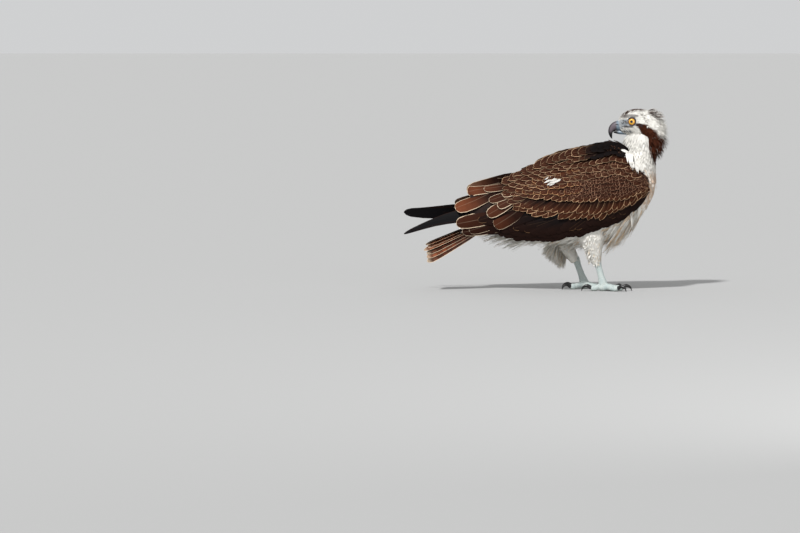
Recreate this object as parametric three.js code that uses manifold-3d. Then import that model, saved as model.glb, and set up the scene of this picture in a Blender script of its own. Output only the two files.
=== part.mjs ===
// A young osprey standing on both feet with its head turned back over its shoulder, life size.
// Millimetres, +Z up. The bird's breast points to +X and its right side to -Y, and the floor is z = 0.
// The origin is on the floor under the right ankle.
import * as THREE from "three";
import { mergeVertices } from "three/addons/utils/BufferGeometryUtils.js";
import Module from "manifold-3d";

const wasm = await Module();
wasm.setup();

// Driving sizes
const GAP = 0.35; // clearance kept between pieces that touch
const HEAD_AT = [80, 0, 334]; // middle of the head
const HEAD_YAW = 176; // degrees that the head is turned back towards the tail, past the right shoulder
const EYE_RADIUS = 8.6;
const EYE_AT = [16, 16.6, 3]; // in the head's own frame, x towards the bill
const VANE_THICKNESS = 1.5;
const TARSUS_RADIUS = 7.0;
const TOE_RADIUS = 6.0;
const WING_SHELL = 7; // depth of the folded wing under its feathers
const SEAM = 0.12; // how far a seam between joined pieces may move when its slivers are cleared
const SIDES = 16; // facets round a body section

// Rows of [x, top z, bottom z, half width] that the body, head and folded wing are lofted through
const TORSO_ROWS = [
  [-236, 176, 136, 14],
  [-200, 202, 116, 26],
  [-150, 233, 101, 40],
  [-90, 260, 96, 53],
  [-30, 276, 94, 60],
  [20, 292, 100, 60],
  [50, 290, 115, 56],
  [84, 266, 154, 45],
  [103, 240, 186, 24],
  [107, 226, 200, 10],
];
const HEAD_ROWS = [
  [47, 3, -13, 7],
  [40, 14, -18, 13],
  [30, 22.5, -22, 19],
  [16, 27, -26, 24],
  [0, 28, -31, 27],
  [-16, 24, -38, 27],
  [-30, 17, -44, 24],
  [-41, 8, -42, 17],
  [-47, -4, -30, 8],
];
const WING_ROWS = [
  [96, 214, 196, 50],
  [90, 232, 184, 58],
  [70, 258, 166, 69],
  [30, 286, 138, 76],
  [-20, 280, 118, 78],
  [-80, 267, 104, 73],
  [-140, 244, 100, 62],
  [-200, 214, 111, 47],
  [-260, 197, 118, 33],
  [-330, 172, 122, 24],
  [-396, 160, 126, 18],
];

// A smooth value from rows keyed by their first number
function sample(rows, key, column) {
  const ordered = rows[0][0] < rows[rows.length - 1][0] ? rows : [...rows].reverse();
  const last = ordered.length - 1;
  if (key <= ordered[0][0]) return ordered[0][column];
  if (key >= ordered[last][0]) return ordered[last][column];
  let i = 0;
  while (key > ordered[i + 1][0]) i++;
  const at = (j) => ordered[Math.min(last, Math.max(0, j))];
  const slope = (j) => (at(j + 1)[column] - at(j - 1)[column]) / (at(j + 1)[0] - at(j - 1)[0]);
  const width = at(i + 1)[0] - at(i)[0];
  const t = (key - at(i)[0]) / width;
  const t2 = t * t;
  const t3 = t2 * t;
  return (
    (2 * t3 - 3 * t2 + 1) * at(i)[column] +
    (t3 - 2 * t2 + t) * width * slope(i) +
    (3 * t2 - 2 * t3) * at(i + 1)[column] +
    (t3 - t2) * width * slope(i + 1)
  );
}

const mix = (a, b, t) => a + (b - a) * t;
const radians = THREE.MathUtils.degToRad;
const vec = (p) => new THREE.Vector3(...p);

// Closed solids from rings of points

function solidOf(geometry) {
  const bare = geometry.clone();
  bare.deleteAttribute("normal");
  bare.deleteAttribute("uv");
  const merged = mergeVertices(bare, 1e-4);
  return new wasm.Manifold(
    new wasm.Mesh({
      numProp: 3,
      vertProperties: new Float32Array(merged.attributes.position.array),
      triVerts: new Uint32Array(merged.index.array),
    }),
  );
}

// Joins rings of equally many points, closed by a fan at each end
function skinRings(rings) {
  const n = rings[0].length;
  const points = rings.flat();
  const middle = (ring) => ring.reduce((sum, p) => sum.add(p), new THREE.Vector3()).divideScalar(n);
  const faces = [];
  for (let i = 0; i + 1 < rings.length; i++)
    for (let j = 0; j < n; j++) {
      const a = i * n + j;
      const b = i * n + ((j + 1) % n);
      faces.push(a, b, b + n, a, b + n, a + n);
    }
  const first = points.push(middle(rings[0])) - 1;
  const final = points.push(middle(rings[rings.length - 1])) - 1;
  const base = (rings.length - 1) * n;
  for (let j = 0; j < n; j++) {
    const k = (j + 1) % n;
    faces.push(first, k, j, final, base + j, base + k);
  }
  const geometry = new THREE.BufferGeometry();
  geometry.setAttribute("position", new THREE.Float32BufferAttribute(points.flatMap((p) => p.toArray()), 3));
  geometry.setIndex(faces);
  const made = solidOf(geometry);
  if (made.volume() > 0) return made;
  const turned = [];
  for (let i = 0; i < faces.length; i += 3) turned.push(faces[i], faces[i + 2], faces[i + 1]);
  geometry.setIndex(turned);
  return solidOf(geometry);
}

// A body through rows of [x, top, bottom, half width], grown outwards by grow
function bodyLoft(rows, steps, sides, grow = 0) {
  const lowest = Math.min(rows[0][0], rows[rows.length - 1][0]);
  const highest = Math.max(rows[0][0], rows[rows.length - 1][0]);
  const rings = [];
  for (let i = 0; i <= steps; i++) {
    const x = mix(lowest, highest, 0.5 - 0.5 * Math.cos((Math.PI * i) / steps));
    const top = sample(rows, x, 1) + grow;
    const bottom = sample(rows, x, 2) - grow;
    const half = sample(rows, x, 3) + grow;
    const ring = [];
    for (let j = 0; j < sides; j++) {
      const turn = (2 * Math.PI * (j + 0.5)) / sides;
      const side = Math.cos(turn);
      const rise = Math.sin(turn);
      ring.push(
        vec([
          x + (i === 0 ? -grow : i === steps ? grow : 0),
          half * Math.sign(side) * Math.abs(side) ** 0.85,
          (top + bottom) / 2 + ((top - bottom) / 2) * rise,
        ]),
      );
    }
    rings.push(ring);
  }
  return skinRings(rings);
}

// A tube along points, with one [radius, depth] pair at each, flattened by depth
function limb(points, radii, sides = 10, steps = 3) {
  const curve = new THREE.CatmullRomCurve3(points.map(vec));
  const count = (points.length - 1) * steps;
  const rings = [];
  const out = new THREE.Vector3(0, 1, 0);
  for (let i = 0; i <= count; i++) {
    const t = i / count;
    const at = curve.getPoint(t);
    const along = curve.getTangent(t);
    const side = out.clone().sub(along.clone().multiplyScalar(out.dot(along))).normalize();
    const up = along.clone().cross(side);
    const key = t * (radii.length - 1);
    const k = Math.min(radii.length - 2, Math.floor(key));
    const r = mix(radii[k][0], radii[k + 1][0], key - k);
    const d = mix(radii[k][1], radii[k + 1][1], key - k);
    const ring = [];
    for (let j = 0; j < sides; j++) {
      const turn = (2 * Math.PI * j) / sides;
      ring.push(at.clone().addScaledVector(side, d * Math.cos(turn)).addScaledVector(up, r * Math.sin(turn)));
    }
    rings.push(ring);
  }
  return skinRings(rings);
}

function ball(at, radius, detail = 12, scale = [1, 1, 1]) {
  const geometry = new THREE.SphereGeometry(radius, detail, Math.ceil(detail * 0.6));
  geometry.scale(...scale).translate(...at);
  return solidOf(geometry);
}

function block(low, high) {
  const size = high.map((value, i) => value - low[i]);
  const middle = high.map((value, i) => (value + low[i]) / 2);
  return solidOf(new THREE.BoxGeometry(...size).translate(...middle));
}

// Joins solids and clears the slivers that their seams leave
function union(solids) {
  return wasm.Manifold.union(solids).simplify(SEAM);
}

// The largest closed body of a solid, without the slivers its cuts leave
function largest(solid) {
  const bodies = solid.simplify(SEAM).decompose();
  return bodies.reduce((best, part) => (part.volume() > best.volume() ? part : best));
}

// A flat tapered vane along a path; widths are half widths, and sag bends its edges to the surface below
function vane(path, normals, widths, thickness, sag = 0.006, grow = 0) {
  const rings = path.map((at, i) => {
    const next = path[Math.min(path.length - 1, i + 1)];
    const before = path[Math.max(0, i - 1)];
    const along = next.clone().sub(before).normalize();
    const normal = normals[i].clone().sub(along.clone().multiplyScalar(normals[i].dot(along))).normalize();
    const side = normal.clone().cross(along);
    const w = widths[i] + grow;
    const drop = sag * w * w;
    const thick = thickness * (i === path.length - 1 ? 0.5 : 1) + 2 * grow;
    if (i === path.length - 1) at = at.clone().addScaledVector(along, grow);
    return [
      at.clone().addScaledVector(side, w).addScaledVector(normal, -drop),
      at.clone().addScaledVector(normal, thick / 2),
      at.clone().addScaledVector(side, -w).addScaledVector(normal, -drop),
      at.clone().addScaledVector(normal, -thick / 2),
    ];
  });
  return skinRings(rings);
}

// The folded wing's outer surface, seen from the side: height z at length x, h millimetres proud

const wingTop = (x) => sample(WING_ROWS, x, 1);
const wingBottom = (x) => sample(WING_ROWS, x, 2);
const wingHalf = (x) => sample(WING_ROWS, x, 3);

// Share of the wing's half width at a share of its height; the upper edges meet behind the shoulders
function wingProfile(down, x) {
  const a = Math.min(1.1, Math.max(-0.1, down));
  const open = mix(0.03, 0.14, THREE.MathUtils.clamp((x + 190) / 220, 0, 1));
  const crown = Math.sin((Math.PI / 2) * Math.min(1, (Math.max(0, a) + open) / (0.5 + open)));
  const tuck = a > 0.5 ? (a - 0.5) ** 2 : 0;
  return 0.06 + 0.94 * crown - tuck;
}

function wingPoint(x, z, h, side) {
  const down = (wingTop(x) - z) / (wingTop(x) - wingBottom(x));
  const raw = (xx, zz) => {
    const part = (wingTop(xx) - zz) / (wingTop(xx) - wingBottom(xx));
    return vec([xx, wingHalf(xx) * wingProfile(part, xx), zz]);
  };
  const at = raw(x, z);
  const alongX = raw(x + 1, z).sub(at);
  const alongZ = raw(x, z + (down > 0.5 ? 1 : -1)).sub(at).multiplyScalar(down > 0.5 ? 1 : -1);
  const normal = alongZ.cross(alongX).normalize();
  if (normal.y < 0) normal.negate();
  at.addScaledVector(normal, h);
  at.y *= side;
  normal.y *= side;
  return { at, normal };
}

// A feather laid on the wing from a root to a tip, both [x, z] seen from the side
function wingVane(root, tip, half, lift, side) {
  const long = Math.hypot(tip[0] - root[0], tip[1] - root[1]) > 60;
  const stops = long ? [0, 0.4, 0.85, 1] : [0, 0.7, 1];
  const shape = long ? [0.6, 1, 0.9, 0.35] : [0.7, 1, 0.42];
  const path = [];
  const normals = [];
  stops.forEach((t) => {
    const made = wingPoint(mix(root[0], tip[0], t), mix(root[1], tip[1], t), mix(lift[0], lift[1], t ** 1.2), side);
    path.push(made.at);
    normals.push(made.normal);
  });
  return vane(path, normals, shape.map((s) => s * half), VANE_THICKNESS);
}

// Lie of the wing's feathers, in degrees below the line to the tail
function wingLie(x) {
  return mix(22, 66, THREE.MathUtils.clamp((x + 240) / 310, 0, 1));
}

// One tier of wing feathers: count feathers from the wrist back, with tips at share down of the wing's height
function wingTier(spec, side) {
  const made = [];
  for (let i = 0; i < spec.count; i++) {
    const t = i / (spec.count - 1);
    const x = mix(spec.from, spec.to, t ** 0.9);
    const share = mix(spec.down[0], spec.down[1], t);
    const z = mix(wingTop(x), wingBottom(x), share);
    const lie = radians(wingLie(x) * spec.slope);
    const length = mix(spec.length[0], spec.length[1], t);
    const root = [x + length * Math.cos(lie), Math.min(z + length * Math.sin(lie), wingTop(x) - 4)];
    made.push(wingVane(root, [x, z], mix(spec.half[0], spec.half[1], t), spec.lift, side));
  }
  return made;
}

const WING_TIERS = [
  { count: 8, from: 44, to: -196, down: [1.0, 1.02], length: [64, 104], half: [16, 17], slope: 0.8, lift: [-4, 0.6] },
  { count: 8, from: 60, to: -188, down: [0.76, 0.84], length: [44, 74], half: [17, 17], slope: 1, lift: [-4, 2.8] },
  { count: 7, from: 68, to: -172, down: [0.52, 0.6], length: [40, 60], half: [19, 19], slope: 1, lift: [-4, 4.2] },
  { count: 6, from: 74, to: -130, down: [0.3, 0.38], length: [34, 48], half: [19, 19], slope: 0.9, lift: [-4, 5.4] },
  { count: 5, from: 40, to: -160, down: [0.1, 0.2], length: [44, 60], half: [17, 17], slope: 0.4, lift: [-5, 6] },
];

function wingCore(side, grow = 0) {
  const rings = [];
  const arc = 5;
  const stations = 9;
  for (let i = 0; i <= stations; i++) {
    const x = mix(WING_ROWS[0][0], -250, i / stations);
    const outer = [];
    const inner = [];
    for (let j = 0; j <= arc; j++) {
      const a = j / arc;
      const z = mix(wingTop(x), wingBottom(x), a);
      const depth = (WING_SHELL * Math.sin(Math.PI * (0.12 + 0.76 * a)) + 1.2) * mix(1, 0.4, i / stations);
      outer.push(wingPoint(x, z, grow, side).at);
      inner.push(wingPoint(x, z, -depth - grow, side).at);
    }
    rings.push([...outer, ...inner.reverse()]);
  }
  return skinRings(rings);
}

// The long inner wing feathers that reach past the covert tiers over the tail
const TERTIALS = [
  { root: [-150, 220], tip: [-262, 197], half: 15, lift: [-2, 3.4] },
  { root: [-160, 190], tip: [-284, 166], half: 19, lift: [-2, 2.2] },
  { root: [-150, 164], tip: [-286, 140], half: 17, lift: [-2, 1.0] },
  { root: [-130, 140], tip: [-272, 124], half: 14, lift: [-2, -0.4] },
];

// The folded hand: long narrow primaries that share one blade and end one behind the other
const PRIMARY = {
  count: 5,
  rootX: -150,
  rootZ: 138,
  arch: 12,
  tipX: -394,
  step: 15,
  spread: 1.5,
};

function primaries(side, tipZ, tipY, half) {
  const made = [];
  for (let i = 0; i < PRIMARY.count; i++) {
    const stops = [0, 0.3, 0.6, 0.85, 1];
    const tip = PRIMARY.tipX + PRIMARY.step * i * (1 + 0.12 * i);
    const rootZ = PRIMARY.rootZ + 2.5 * i;
    const rootY = Math.abs(wingPoint(PRIMARY.rootX, rootZ, -3, side).at.y);
    const path = stops.map((t) => {
      const y = mix(rootY, tipY, t ** 0.8) + PRIMARY.spread * (i - 2) * t;
      const z = mix(rootZ, tipZ, t ** 3) + PRIMARY.arch * Math.sin(Math.PI * t) + i * 1.6 * t;
      return vec([mix(PRIMARY.rootX, tip, t), side * y, z]);
    });
    const normal = vec([0, side, 0.35]).normalize();
    const widths = [0.5, 1, 1, 0.85, 0.4].map((s) => s * (half - i * 0.6));
    made.push(vane(path, path.map(() => normal), widths, VANE_THICKNESS));
  }
  return made;
}

// Where each folded hand ends, and how much higher that wing's long inner feathers lie
const HANDS = {
  right: { tipZ: 113, tipY: 17, half: 10, rise: 0 },
  left: { tipZ: 156, tipY: 9, half: 12.4, rise: 9 },
};

function wing(side, hand, keepOut) {
  const pieces = [wingCore(side), ...WING_TIERS.flatMap((spec) => wingTier(spec, side))];
  TERTIALS.forEach((t) => {
    const tip = [t.tip[0], t.tip[1] + hand.rise];
    pieces.push(wingVane(t.root, tip, t.half, t.lift, side));
  });
  pieces.push(...primaries(side, hand.tipZ, hand.tipY, hand.half));
  return largest(union(pieces).subtract(keepOut));
}

// The tail: twelve feathers in a loose fan round one root block
const TAIL = { count: 12, rootX: -216, length: 142, half: 13, dropNear: 74, dropFar: 96, spread: 26 };

function tail(keepOut) {
  const pieces = [limb([[-196, 0, 146], [-230, 0, 141], [-262, 0, 134]], [[16, 22], [12, 20], [5, 16]], 10, 2)];
  for (let i = 0; i < TAIL.count; i++) {
    const across = (i / (TAIL.count - 1)) * 2 - 1;
    const turn = radians(across * 9);
    const tipX = TAIL.rootX - TAIL.length * (0.9 + 0.06 * (1 - Math.abs(across)));
    const tipZ = mix(TAIL.dropNear, TAIL.dropFar, (across + 1) / 2) - 16 * Math.abs(across) ** 2;
    const stops = [0, 0.4, 0.85, 1];
    const path = stops.map((t) => {
      const y = mix(across * 12, across * TAIL.spread, t);
      const roof = 3.2 * (1 - Math.abs(across)) * 2;
      return vec([mix(TAIL.rootX, tipX, t), y, mix(144, tipZ, t) + roof - (1 - t) * 4]);
    });
    const normal = vec([0.28, Math.sin(turn) * 2.2, 1]).normalize();
    const widths = [0.5, 0.9, 1, 0.4].map((s) => s * TAIL.half);
    pieces.push(vane(path, path.map(() => normal), widths, VANE_THICKNESS, 0.004));
  }
  return largest(union(pieces).subtract(keepOut));
}

// A soft lock that leaves a surface point and hangs along a direction
function lock(root, tip, out, half, thickness = 2.4, grow = 0) {
  const bend = vec(out).normalize();
  const stops = [0, 0.5, 1];
  const path = stops.map((t) => {
    const at = vec(root).lerp(vec(tip), t);
    return at.addScaledVector(bend, 3 * Math.sin(Math.PI * t));
  });
  const widths = [0.85, 1, 0.15].map((s) => s * half);
  return vane(path, path.map(() => bend), widths, thickness, 0.006, grow);
}

// The loose white feathers under the breast and belly, in rows from side to side
function bellyLocks() {
  const made = [];
  const rows = [
    { x: 82, z: 157, count: 5, half: 9, long: 34, spread: 30 },
    { x: 62, z: 131, count: 5, half: 10, long: 38, spread: 34 },
    { x: 36, z: 111, count: 5, half: 10, long: 36, spread: 32 },
    { x: -150, z: 108, count: 4, half: 10, long: 44, spread: 18 },
    { x: -186, z: 118, count: 4, half: 9, long: 42, spread: 14 },
  ];
  rows.forEach((row) => {
    for (let i = 0; i < row.count; i++) {
      const across = (i / (row.count - 1)) * 2 - 1;
      const y = across * row.spread;
      const root = [row.x, y, row.z + 8 * across * across];
      const tip = [row.x - row.long * 0.8, y * 1.1, row.z - row.long * 0.55 + 6 * across * across];
      made.push(lock(root, tip, [0.55, across * 0.8, -0.85], row.half));
    }
  });
  return made;
}

// The long drooping feathers behind a thigh
function trouserLocks(leg) {
  const made = [];
  const count = 6;
  const curve = new THREE.CatmullRomCurve3([leg.hip, leg.knee, leg.hock].map(vec));
  for (let i = 0; i < count; i++) {
    const t = 0.3 + (0.6 * i) / (count - 1);
    const at = curve.getPoint(t);
    const back = leg.trouser.back * (1.15 - 0.5 * t);
    const drop = leg.trouser.drop * (1.1 - 0.5 * t);
    for (const lean of [-1, 0, 1]) {
      if (lean === 0 && i % 2 === 1) continue;
      const root = [at.x - 5, at.y + lean * 8 * (1.3 - t), at.z];
      const tip = [at.x - back - 12, at.y + lean * 12 * (1.3 - t), at.z - drop];
      made.push(lock(root, tip, [-0.6, lean, -0.2], 7.5 - 2 * t, 3));
    }
  }
  return made;
}

// The head, in its own frame with x towards the bill and y to the bird's left

const headFrame = new THREE.Matrix4()
  .makeTranslation(...HEAD_AT)
  .multiply(new THREE.Matrix4().makeRotationZ(radians(HEAD_YAW)));
const inHead = (solid) => solid.transform(headFrame.elements);

function lidRing(side) {
  const profile = [];
  const facets = 5;
  for (let i = 0; i <= facets; i++) {
    const turn = (2 * Math.PI * i) / facets;
    profile.push(new THREE.Vector2(EYE_RADIUS * 0.94 + 1.5 * Math.cos(turn), 1.5 * Math.sin(turn)));
  }
  const geometry = new THREE.LatheGeometry(profile, 12);
  geometry.translate(EYE_AT[0], side * (EYE_AT[1] + 4.6), EYE_AT[2]);
  return solidOf(geometry);
}

const upperBillPath = [[40, 0, -4], [50, 0, -3.4], [57, 0, -9], [60, 0, -18], [58, 0, -27], [56.4, 0, -31]];
const upperBillSize = [[11, 9], [9.6, 7.4], [7.2, 5.4], [4.6, 3.6], [2.2, 1.8], [0.5, 0.5]];
const lowerBillPath = [[30, 0, -20], [42, 0, -20.5], [52, 0, -19.5]];
const lowerBillSize = [[4, 7.5], [3.6, 6], [1.6, 2.6]];

function crestLocks(grow = 0) {
  const made = [];
  const count = 7;
  for (const ring of [
    { z: 14, x: -24, long: 18, drop: 0, half: 5, wide: 18 },
    { z: 0, x: -37, long: 17, drop: 8, half: 5.4, wide: 20 },
    { z: -16, x: -40, long: 17, drop: 14, half: 5.4, wide: 21 },
    { z: -32, x: -38, long: 14, drop: 22, half: 5.4, wide: 22 },
  ]) {
    const used = ring.z > 10 ? count - 1 : count;
    for (let i = 0; i < used; i++) {
      const turn = ((i + 0.5) / used) * Math.PI - Math.PI / 2;
      const y = Math.sin(turn) * ring.wide;
      const x = ring.x + (1 - Math.cos(turn)) * 24;
      const root = [x + 6, y * 0.86, ring.z];
      const tip = [x - ring.long * Math.cos(turn) * 0.72 - 2, y * 1.22, ring.z - ring.drop];
      made.push(lock(root, tip, [-0.6, Math.sin(turn), 0.5], ring.half, 2, grow));
    }
  }
  return made;
}

// Legs and feet

const LEGS = {
  right: {
    side: -1,
    hip: [-24, -34, 128],
    knee: [-15, -33, 92],
    hock: [-8, -30, 56],
    ankle: [5, -30, 13],
    thigh: [31, 26, 14.5, 8.6],
    trouser: { back: 20, drop: 22 },
    toes: [
      { turn: 4, long: 38, claw: 1 },
      { turn: -30, long: 33, claw: 0.95 },
      { turn: 38, long: 34, claw: 0.95 },
      { turn: 178, long: 24, claw: 1 },
    ],
  },
  left: {
    side: 1,
    hip: [-58, 32, 122],
    knee: [-70, 33, 94],
    hock: [-48, 32, 57],
    ankle: [-30, 32, 13],
    thigh: [30, 27, 15, 8.6],
    trouser: { back: 34, drop: 30 },
    toes: [
      { turn: 6, long: 36, claw: 0.95 },
      { turn: 40, long: 33, claw: 0.95 },
      { turn: 150, long: 33, claw: 1 },
      { turn: 192, long: 26, claw: 1 },
    ],
  },
};

function thigh(leg, grow = 0) {
  const [a, b, c, d] = leg.thigh.map((r) => r + grow);
  const path = [leg.hip, leg.knee, leg.hock];
  return limb(path, [[a, a * 0.72], [b, b * 0.74], [c, c * 0.95], [d, d]], 12, 3);
}

function tarsus(leg, grow = 0) {
  const r = TARSUS_RADIUS + grow;
  const radii = [[r * 1.2, r], [r * 0.86, r * 0.8], [r * 0.9, r * 0.85], [r * 1.25, r * 1.1]];
  const [x, y, z] = leg.hock;
  return limb([[x, y, z + grow], leg.ankle], radii, 10, 4);
}

// A toe arches from the ankle out to its last pad, then a claw curves down to the floor
function toePath(leg, toe) {
  const way = radians(toe.turn);
  const [x, y, z] = leg.ankle;
  const at = (share, height) => [
    x + Math.cos(way) * toe.long * share,
    y + Math.sin(way) * toe.long * share * -leg.side,
    height,
  ];
  return [at(0.06, z - 4), at(0.36, TOE_RADIUS + 2.2), at(0.72, TOE_RADIUS - 0.6), at(1, TOE_RADIUS - 0.6)];
}

function foot(leg) {
  const [x, y, z] = leg.ankle;
  const pieces = [ball([0, 0, 0], 9, 10, [1.1, 1, 0.95]).translate([x, y, z - 5.4])];
  const r = TOE_RADIUS;
  const radii = [[r, r], [r * 1.06, r], [r * 0.86, r * 0.85], [r * 1.12, r * 1.05], [r * 0.8, r * 0.8]];
  leg.toes.forEach((toe) => pieces.push(limb(toePath(leg, toe), radii, 8, 2)));
  return union(pieces);
}

function talon(leg, toe, grow = 0) {
  const way = radians(toe.turn);
  const path = toePath(leg, toe);
  const [x, y, z] = path[3];
  const at = (out, height) => [x + Math.cos(way) * out, y + Math.sin(way) * out * -leg.side, height];
  const s = toe.claw;
  return limb(
    [at(2, z + 1), at(9 * s, z + 5 * s), at(16 * s, z + 2 * s), at(19.5 * s, z - 6)],
    [[4, 3.5], [3.4, 2.9], [2.1, 1.8], [0.45, 0.45]].map((row) => row.map((r) => r + grow)),
    8,
    2,
  );
}

// Assembly: every piece is cut back from the grown shape of what it meets

const bird = new THREE.Group();

function add(name, solid, colour, roughness) {
  const mesh = solid.getMesh();
  const stride = mesh.numProp;
  const positions = [];
  for (let i = 0; i < mesh.numVert; i++) positions.push(...mesh.vertProperties.slice(i * stride, i * stride + 3));
  const geometry = new THREE.BufferGeometry();
  geometry.setAttribute("position", new THREE.Float32BufferAttribute(positions, 3));
  geometry.setIndex(Array.from(mesh.triVerts));
  geometry.computeVertexNormals();
  const material = new THREE.MeshStandardMaterial({ color: colour, roughness, metalness: 0 });
  const piece = new THREE.Mesh(geometry, material);
  piece.name = name;
  bird.add(piece);
}

const WHITE = 0xf2efe8;
const BROWN = 0x3a2218;
const DARK = 0x17120f;
const SKIN = 0xc9d3cf;
const CLAW = 0x141416;
const IRIS = 0xd8a21c;

const NECK_PATH = [[68, 0, 222], [77, 0, 262], [82, 0, 300], [84, 0, 330]];
const NECK_SIZE = [[44, 40], [33, 35], [34, 30], [30, 27]];
const neckTube = (grow) => limb(NECK_PATH, NECK_SIZE.map((row) => row.map((r) => r + grow)), 16, 3);
const torsoBody = (grow) => bodyLoft(TORSO_ROWS, 15, SIDES, grow);
const headBody = (grow) => inHead(union([bodyLoft(HEAD_ROWS, 12, 16, grow), ...crestLocks(grow)]));

const ground = block([-900, -900, -200], [900, 900, 0]);
const thighs = Object.values(LEGS).map((leg) => thigh(leg, GAP));

const torso = union([torsoBody(0), ...bellyLocks()]).subtract(union(thighs));
add("torso", largest(torso), WHITE, 0.85);
const torsoGrown = torsoBody(GAP);
const eyeSides = [["eye_right", -1], ["eye_left", 1]];
const eyeBall = (side, grow) => ball([EYE_AT[0], side * EYE_AT[1], EYE_AT[2]], EYE_RADIUS + grow, 12);
const billUpper = (grow) => limb(upperBillPath, upperBillSize.map((row) => row.map((r) => r + grow)), 10, 2);
const billLower = (grow) => limb(lowerBillPath, lowerBillSize.map((row) => row.map((r) => r + grow)), 10, 3);
const gapeCut = block([22, -40, -16.4], [80, 40, -15.8]);
const headParts = [bodyLoft(HEAD_ROWS, 12, 16), lidRing(1), lidRing(-1), ...crestLocks()];
const eyeRoom = eyeSides.map(([, side]) => eyeBall(side, GAP));
const headCuts = [...eyeRoom, billUpper(GAP), billLower(GAP), gapeCut];
add("head", largest(inHead(union(headParts).subtract(union(headCuts)))), WHITE, 0.8);
eyeSides.forEach(([name, side]) => add(name, inHead(eyeBall(side, 0)), IRIS, 0.1));
const neck = neckTube(0).subtract(torsoGrown).subtract(headBody(GAP)).subtract(inHead(billLower(GAP)));
add("neck", largest(neck), WHITE, 0.85);
const nostrils = [-1, 1].map((side) => ball([50, side * 7.4, -3], 2.2, 8, [1.2, 1, 0.5]));
const upper = billUpper(0).subtract(union(nostrils)).subtract(billLower(GAP));
add("bill_upper", largest(inHead(upper)), CLAW, 0.35);
add("bill_lower", largest(inHead(billLower(0))), CLAW, 0.4);

add("tail", tail(torsoGrown), BROWN, 0.8);
const wingKeepOut = union([torsoGrown, neckTube(GAP), ...thighs]);
add("wing_right", wing(-1, HANDS.right, wingKeepOut), DARK, 0.75);
add("wing_left", wing(1, HANDS.left, wingKeepOut), DARK, 0.75);

for (const [name, leg] of Object.entries(LEGS)) {
  const shank = tarsus(leg, GAP);
  const upperLeg = union([thigh(leg), ...trouserLocks(leg)]);
  add(`thigh_${name}`, largest(upperLeg.subtract(torsoGrown).subtract(shank)), WHITE, 0.85);
  const footGrown = foot(leg);
  add(`tarsus_${name}`, largest(tarsus(leg).subtract(footGrown.translate([0, 0, GAP]))), SKIN, 0.6);
  const claws = leg.toes.map((toe) => talon(leg, toe));
  const clawRoom = union(leg.toes.map((toe) => talon(leg, toe, GAP)));
  add(`foot_${name}`, largest(footGrown.subtract(clawRoom).subtract(ground)), SKIN, 0.6);
  claws.forEach((claw, i) => add(`talon_${name}_${i + 1}`, largest(claw.subtract(ground)), CLAW, 0.3));
}

// The origin moves to the floor under the right ankle
bird.position.set(-LEGS.right.ankle[0], -LEGS.right.ankle[1], 0);

export default bird;
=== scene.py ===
"""A young osprey in full feather, standing with its head turned back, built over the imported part.

Shapes are worked out in millimetres in the bird's own frame, whose x = 0 lies 5 mm in front of the
part's origin, and become metres in the part's frame when a mesh is made.
"""

import math

import bpy
import numpy as np
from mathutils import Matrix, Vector, kdtree


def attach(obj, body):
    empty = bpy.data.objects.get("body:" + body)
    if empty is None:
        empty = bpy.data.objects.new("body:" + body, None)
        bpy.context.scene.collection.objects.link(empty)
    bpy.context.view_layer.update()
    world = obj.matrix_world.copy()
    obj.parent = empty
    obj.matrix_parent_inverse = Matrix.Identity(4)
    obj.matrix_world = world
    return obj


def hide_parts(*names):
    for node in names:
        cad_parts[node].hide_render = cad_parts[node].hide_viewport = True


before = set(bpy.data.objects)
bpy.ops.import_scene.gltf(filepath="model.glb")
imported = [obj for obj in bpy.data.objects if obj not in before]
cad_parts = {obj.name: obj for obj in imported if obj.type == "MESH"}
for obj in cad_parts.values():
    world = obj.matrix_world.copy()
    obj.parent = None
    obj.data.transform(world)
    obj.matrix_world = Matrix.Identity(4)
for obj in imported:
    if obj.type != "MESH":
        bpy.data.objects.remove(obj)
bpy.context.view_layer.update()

# Driving sizes, in millimetres, and places shared with the solids
MM = 0.001
SHIFT = np.array([-5.0, 30.0, 0.0])
HEAD_AT = np.array([80.0, 0.0, 334.0])
HEAD_YAW = math.radians(176)
EYE_AT = np.array([16.0, 16.6, 3.0])
EYE_RADIUS = 8.6
TARSUS_RADIUS = 7.0
TOE_RADIUS = 6.0
SOLE_GAP = 0.05  # how far the soles and claws stay above the floor
SQUARE = 0.85  # power that squares off the sections of body and head
PATCH = 0.003  # size of one feather's place in the bake map
ROUND = 2 * math.pi
X_AXIS, Y_AXIS, Z_AXIS = np.eye(3)
FRAME_WIDTH = 1.6  # metres across the photo's frame at the bird
FRAME_CENTRE = np.array([-400.0, 0.0, 47.0])  # middle of the photo's frame, in the bird's millimetres
CAMERA_RISE = math.radians(3.5)

rng = np.random.default_rng(7)
draw = rng.uniform
sway = rng.normal

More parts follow.
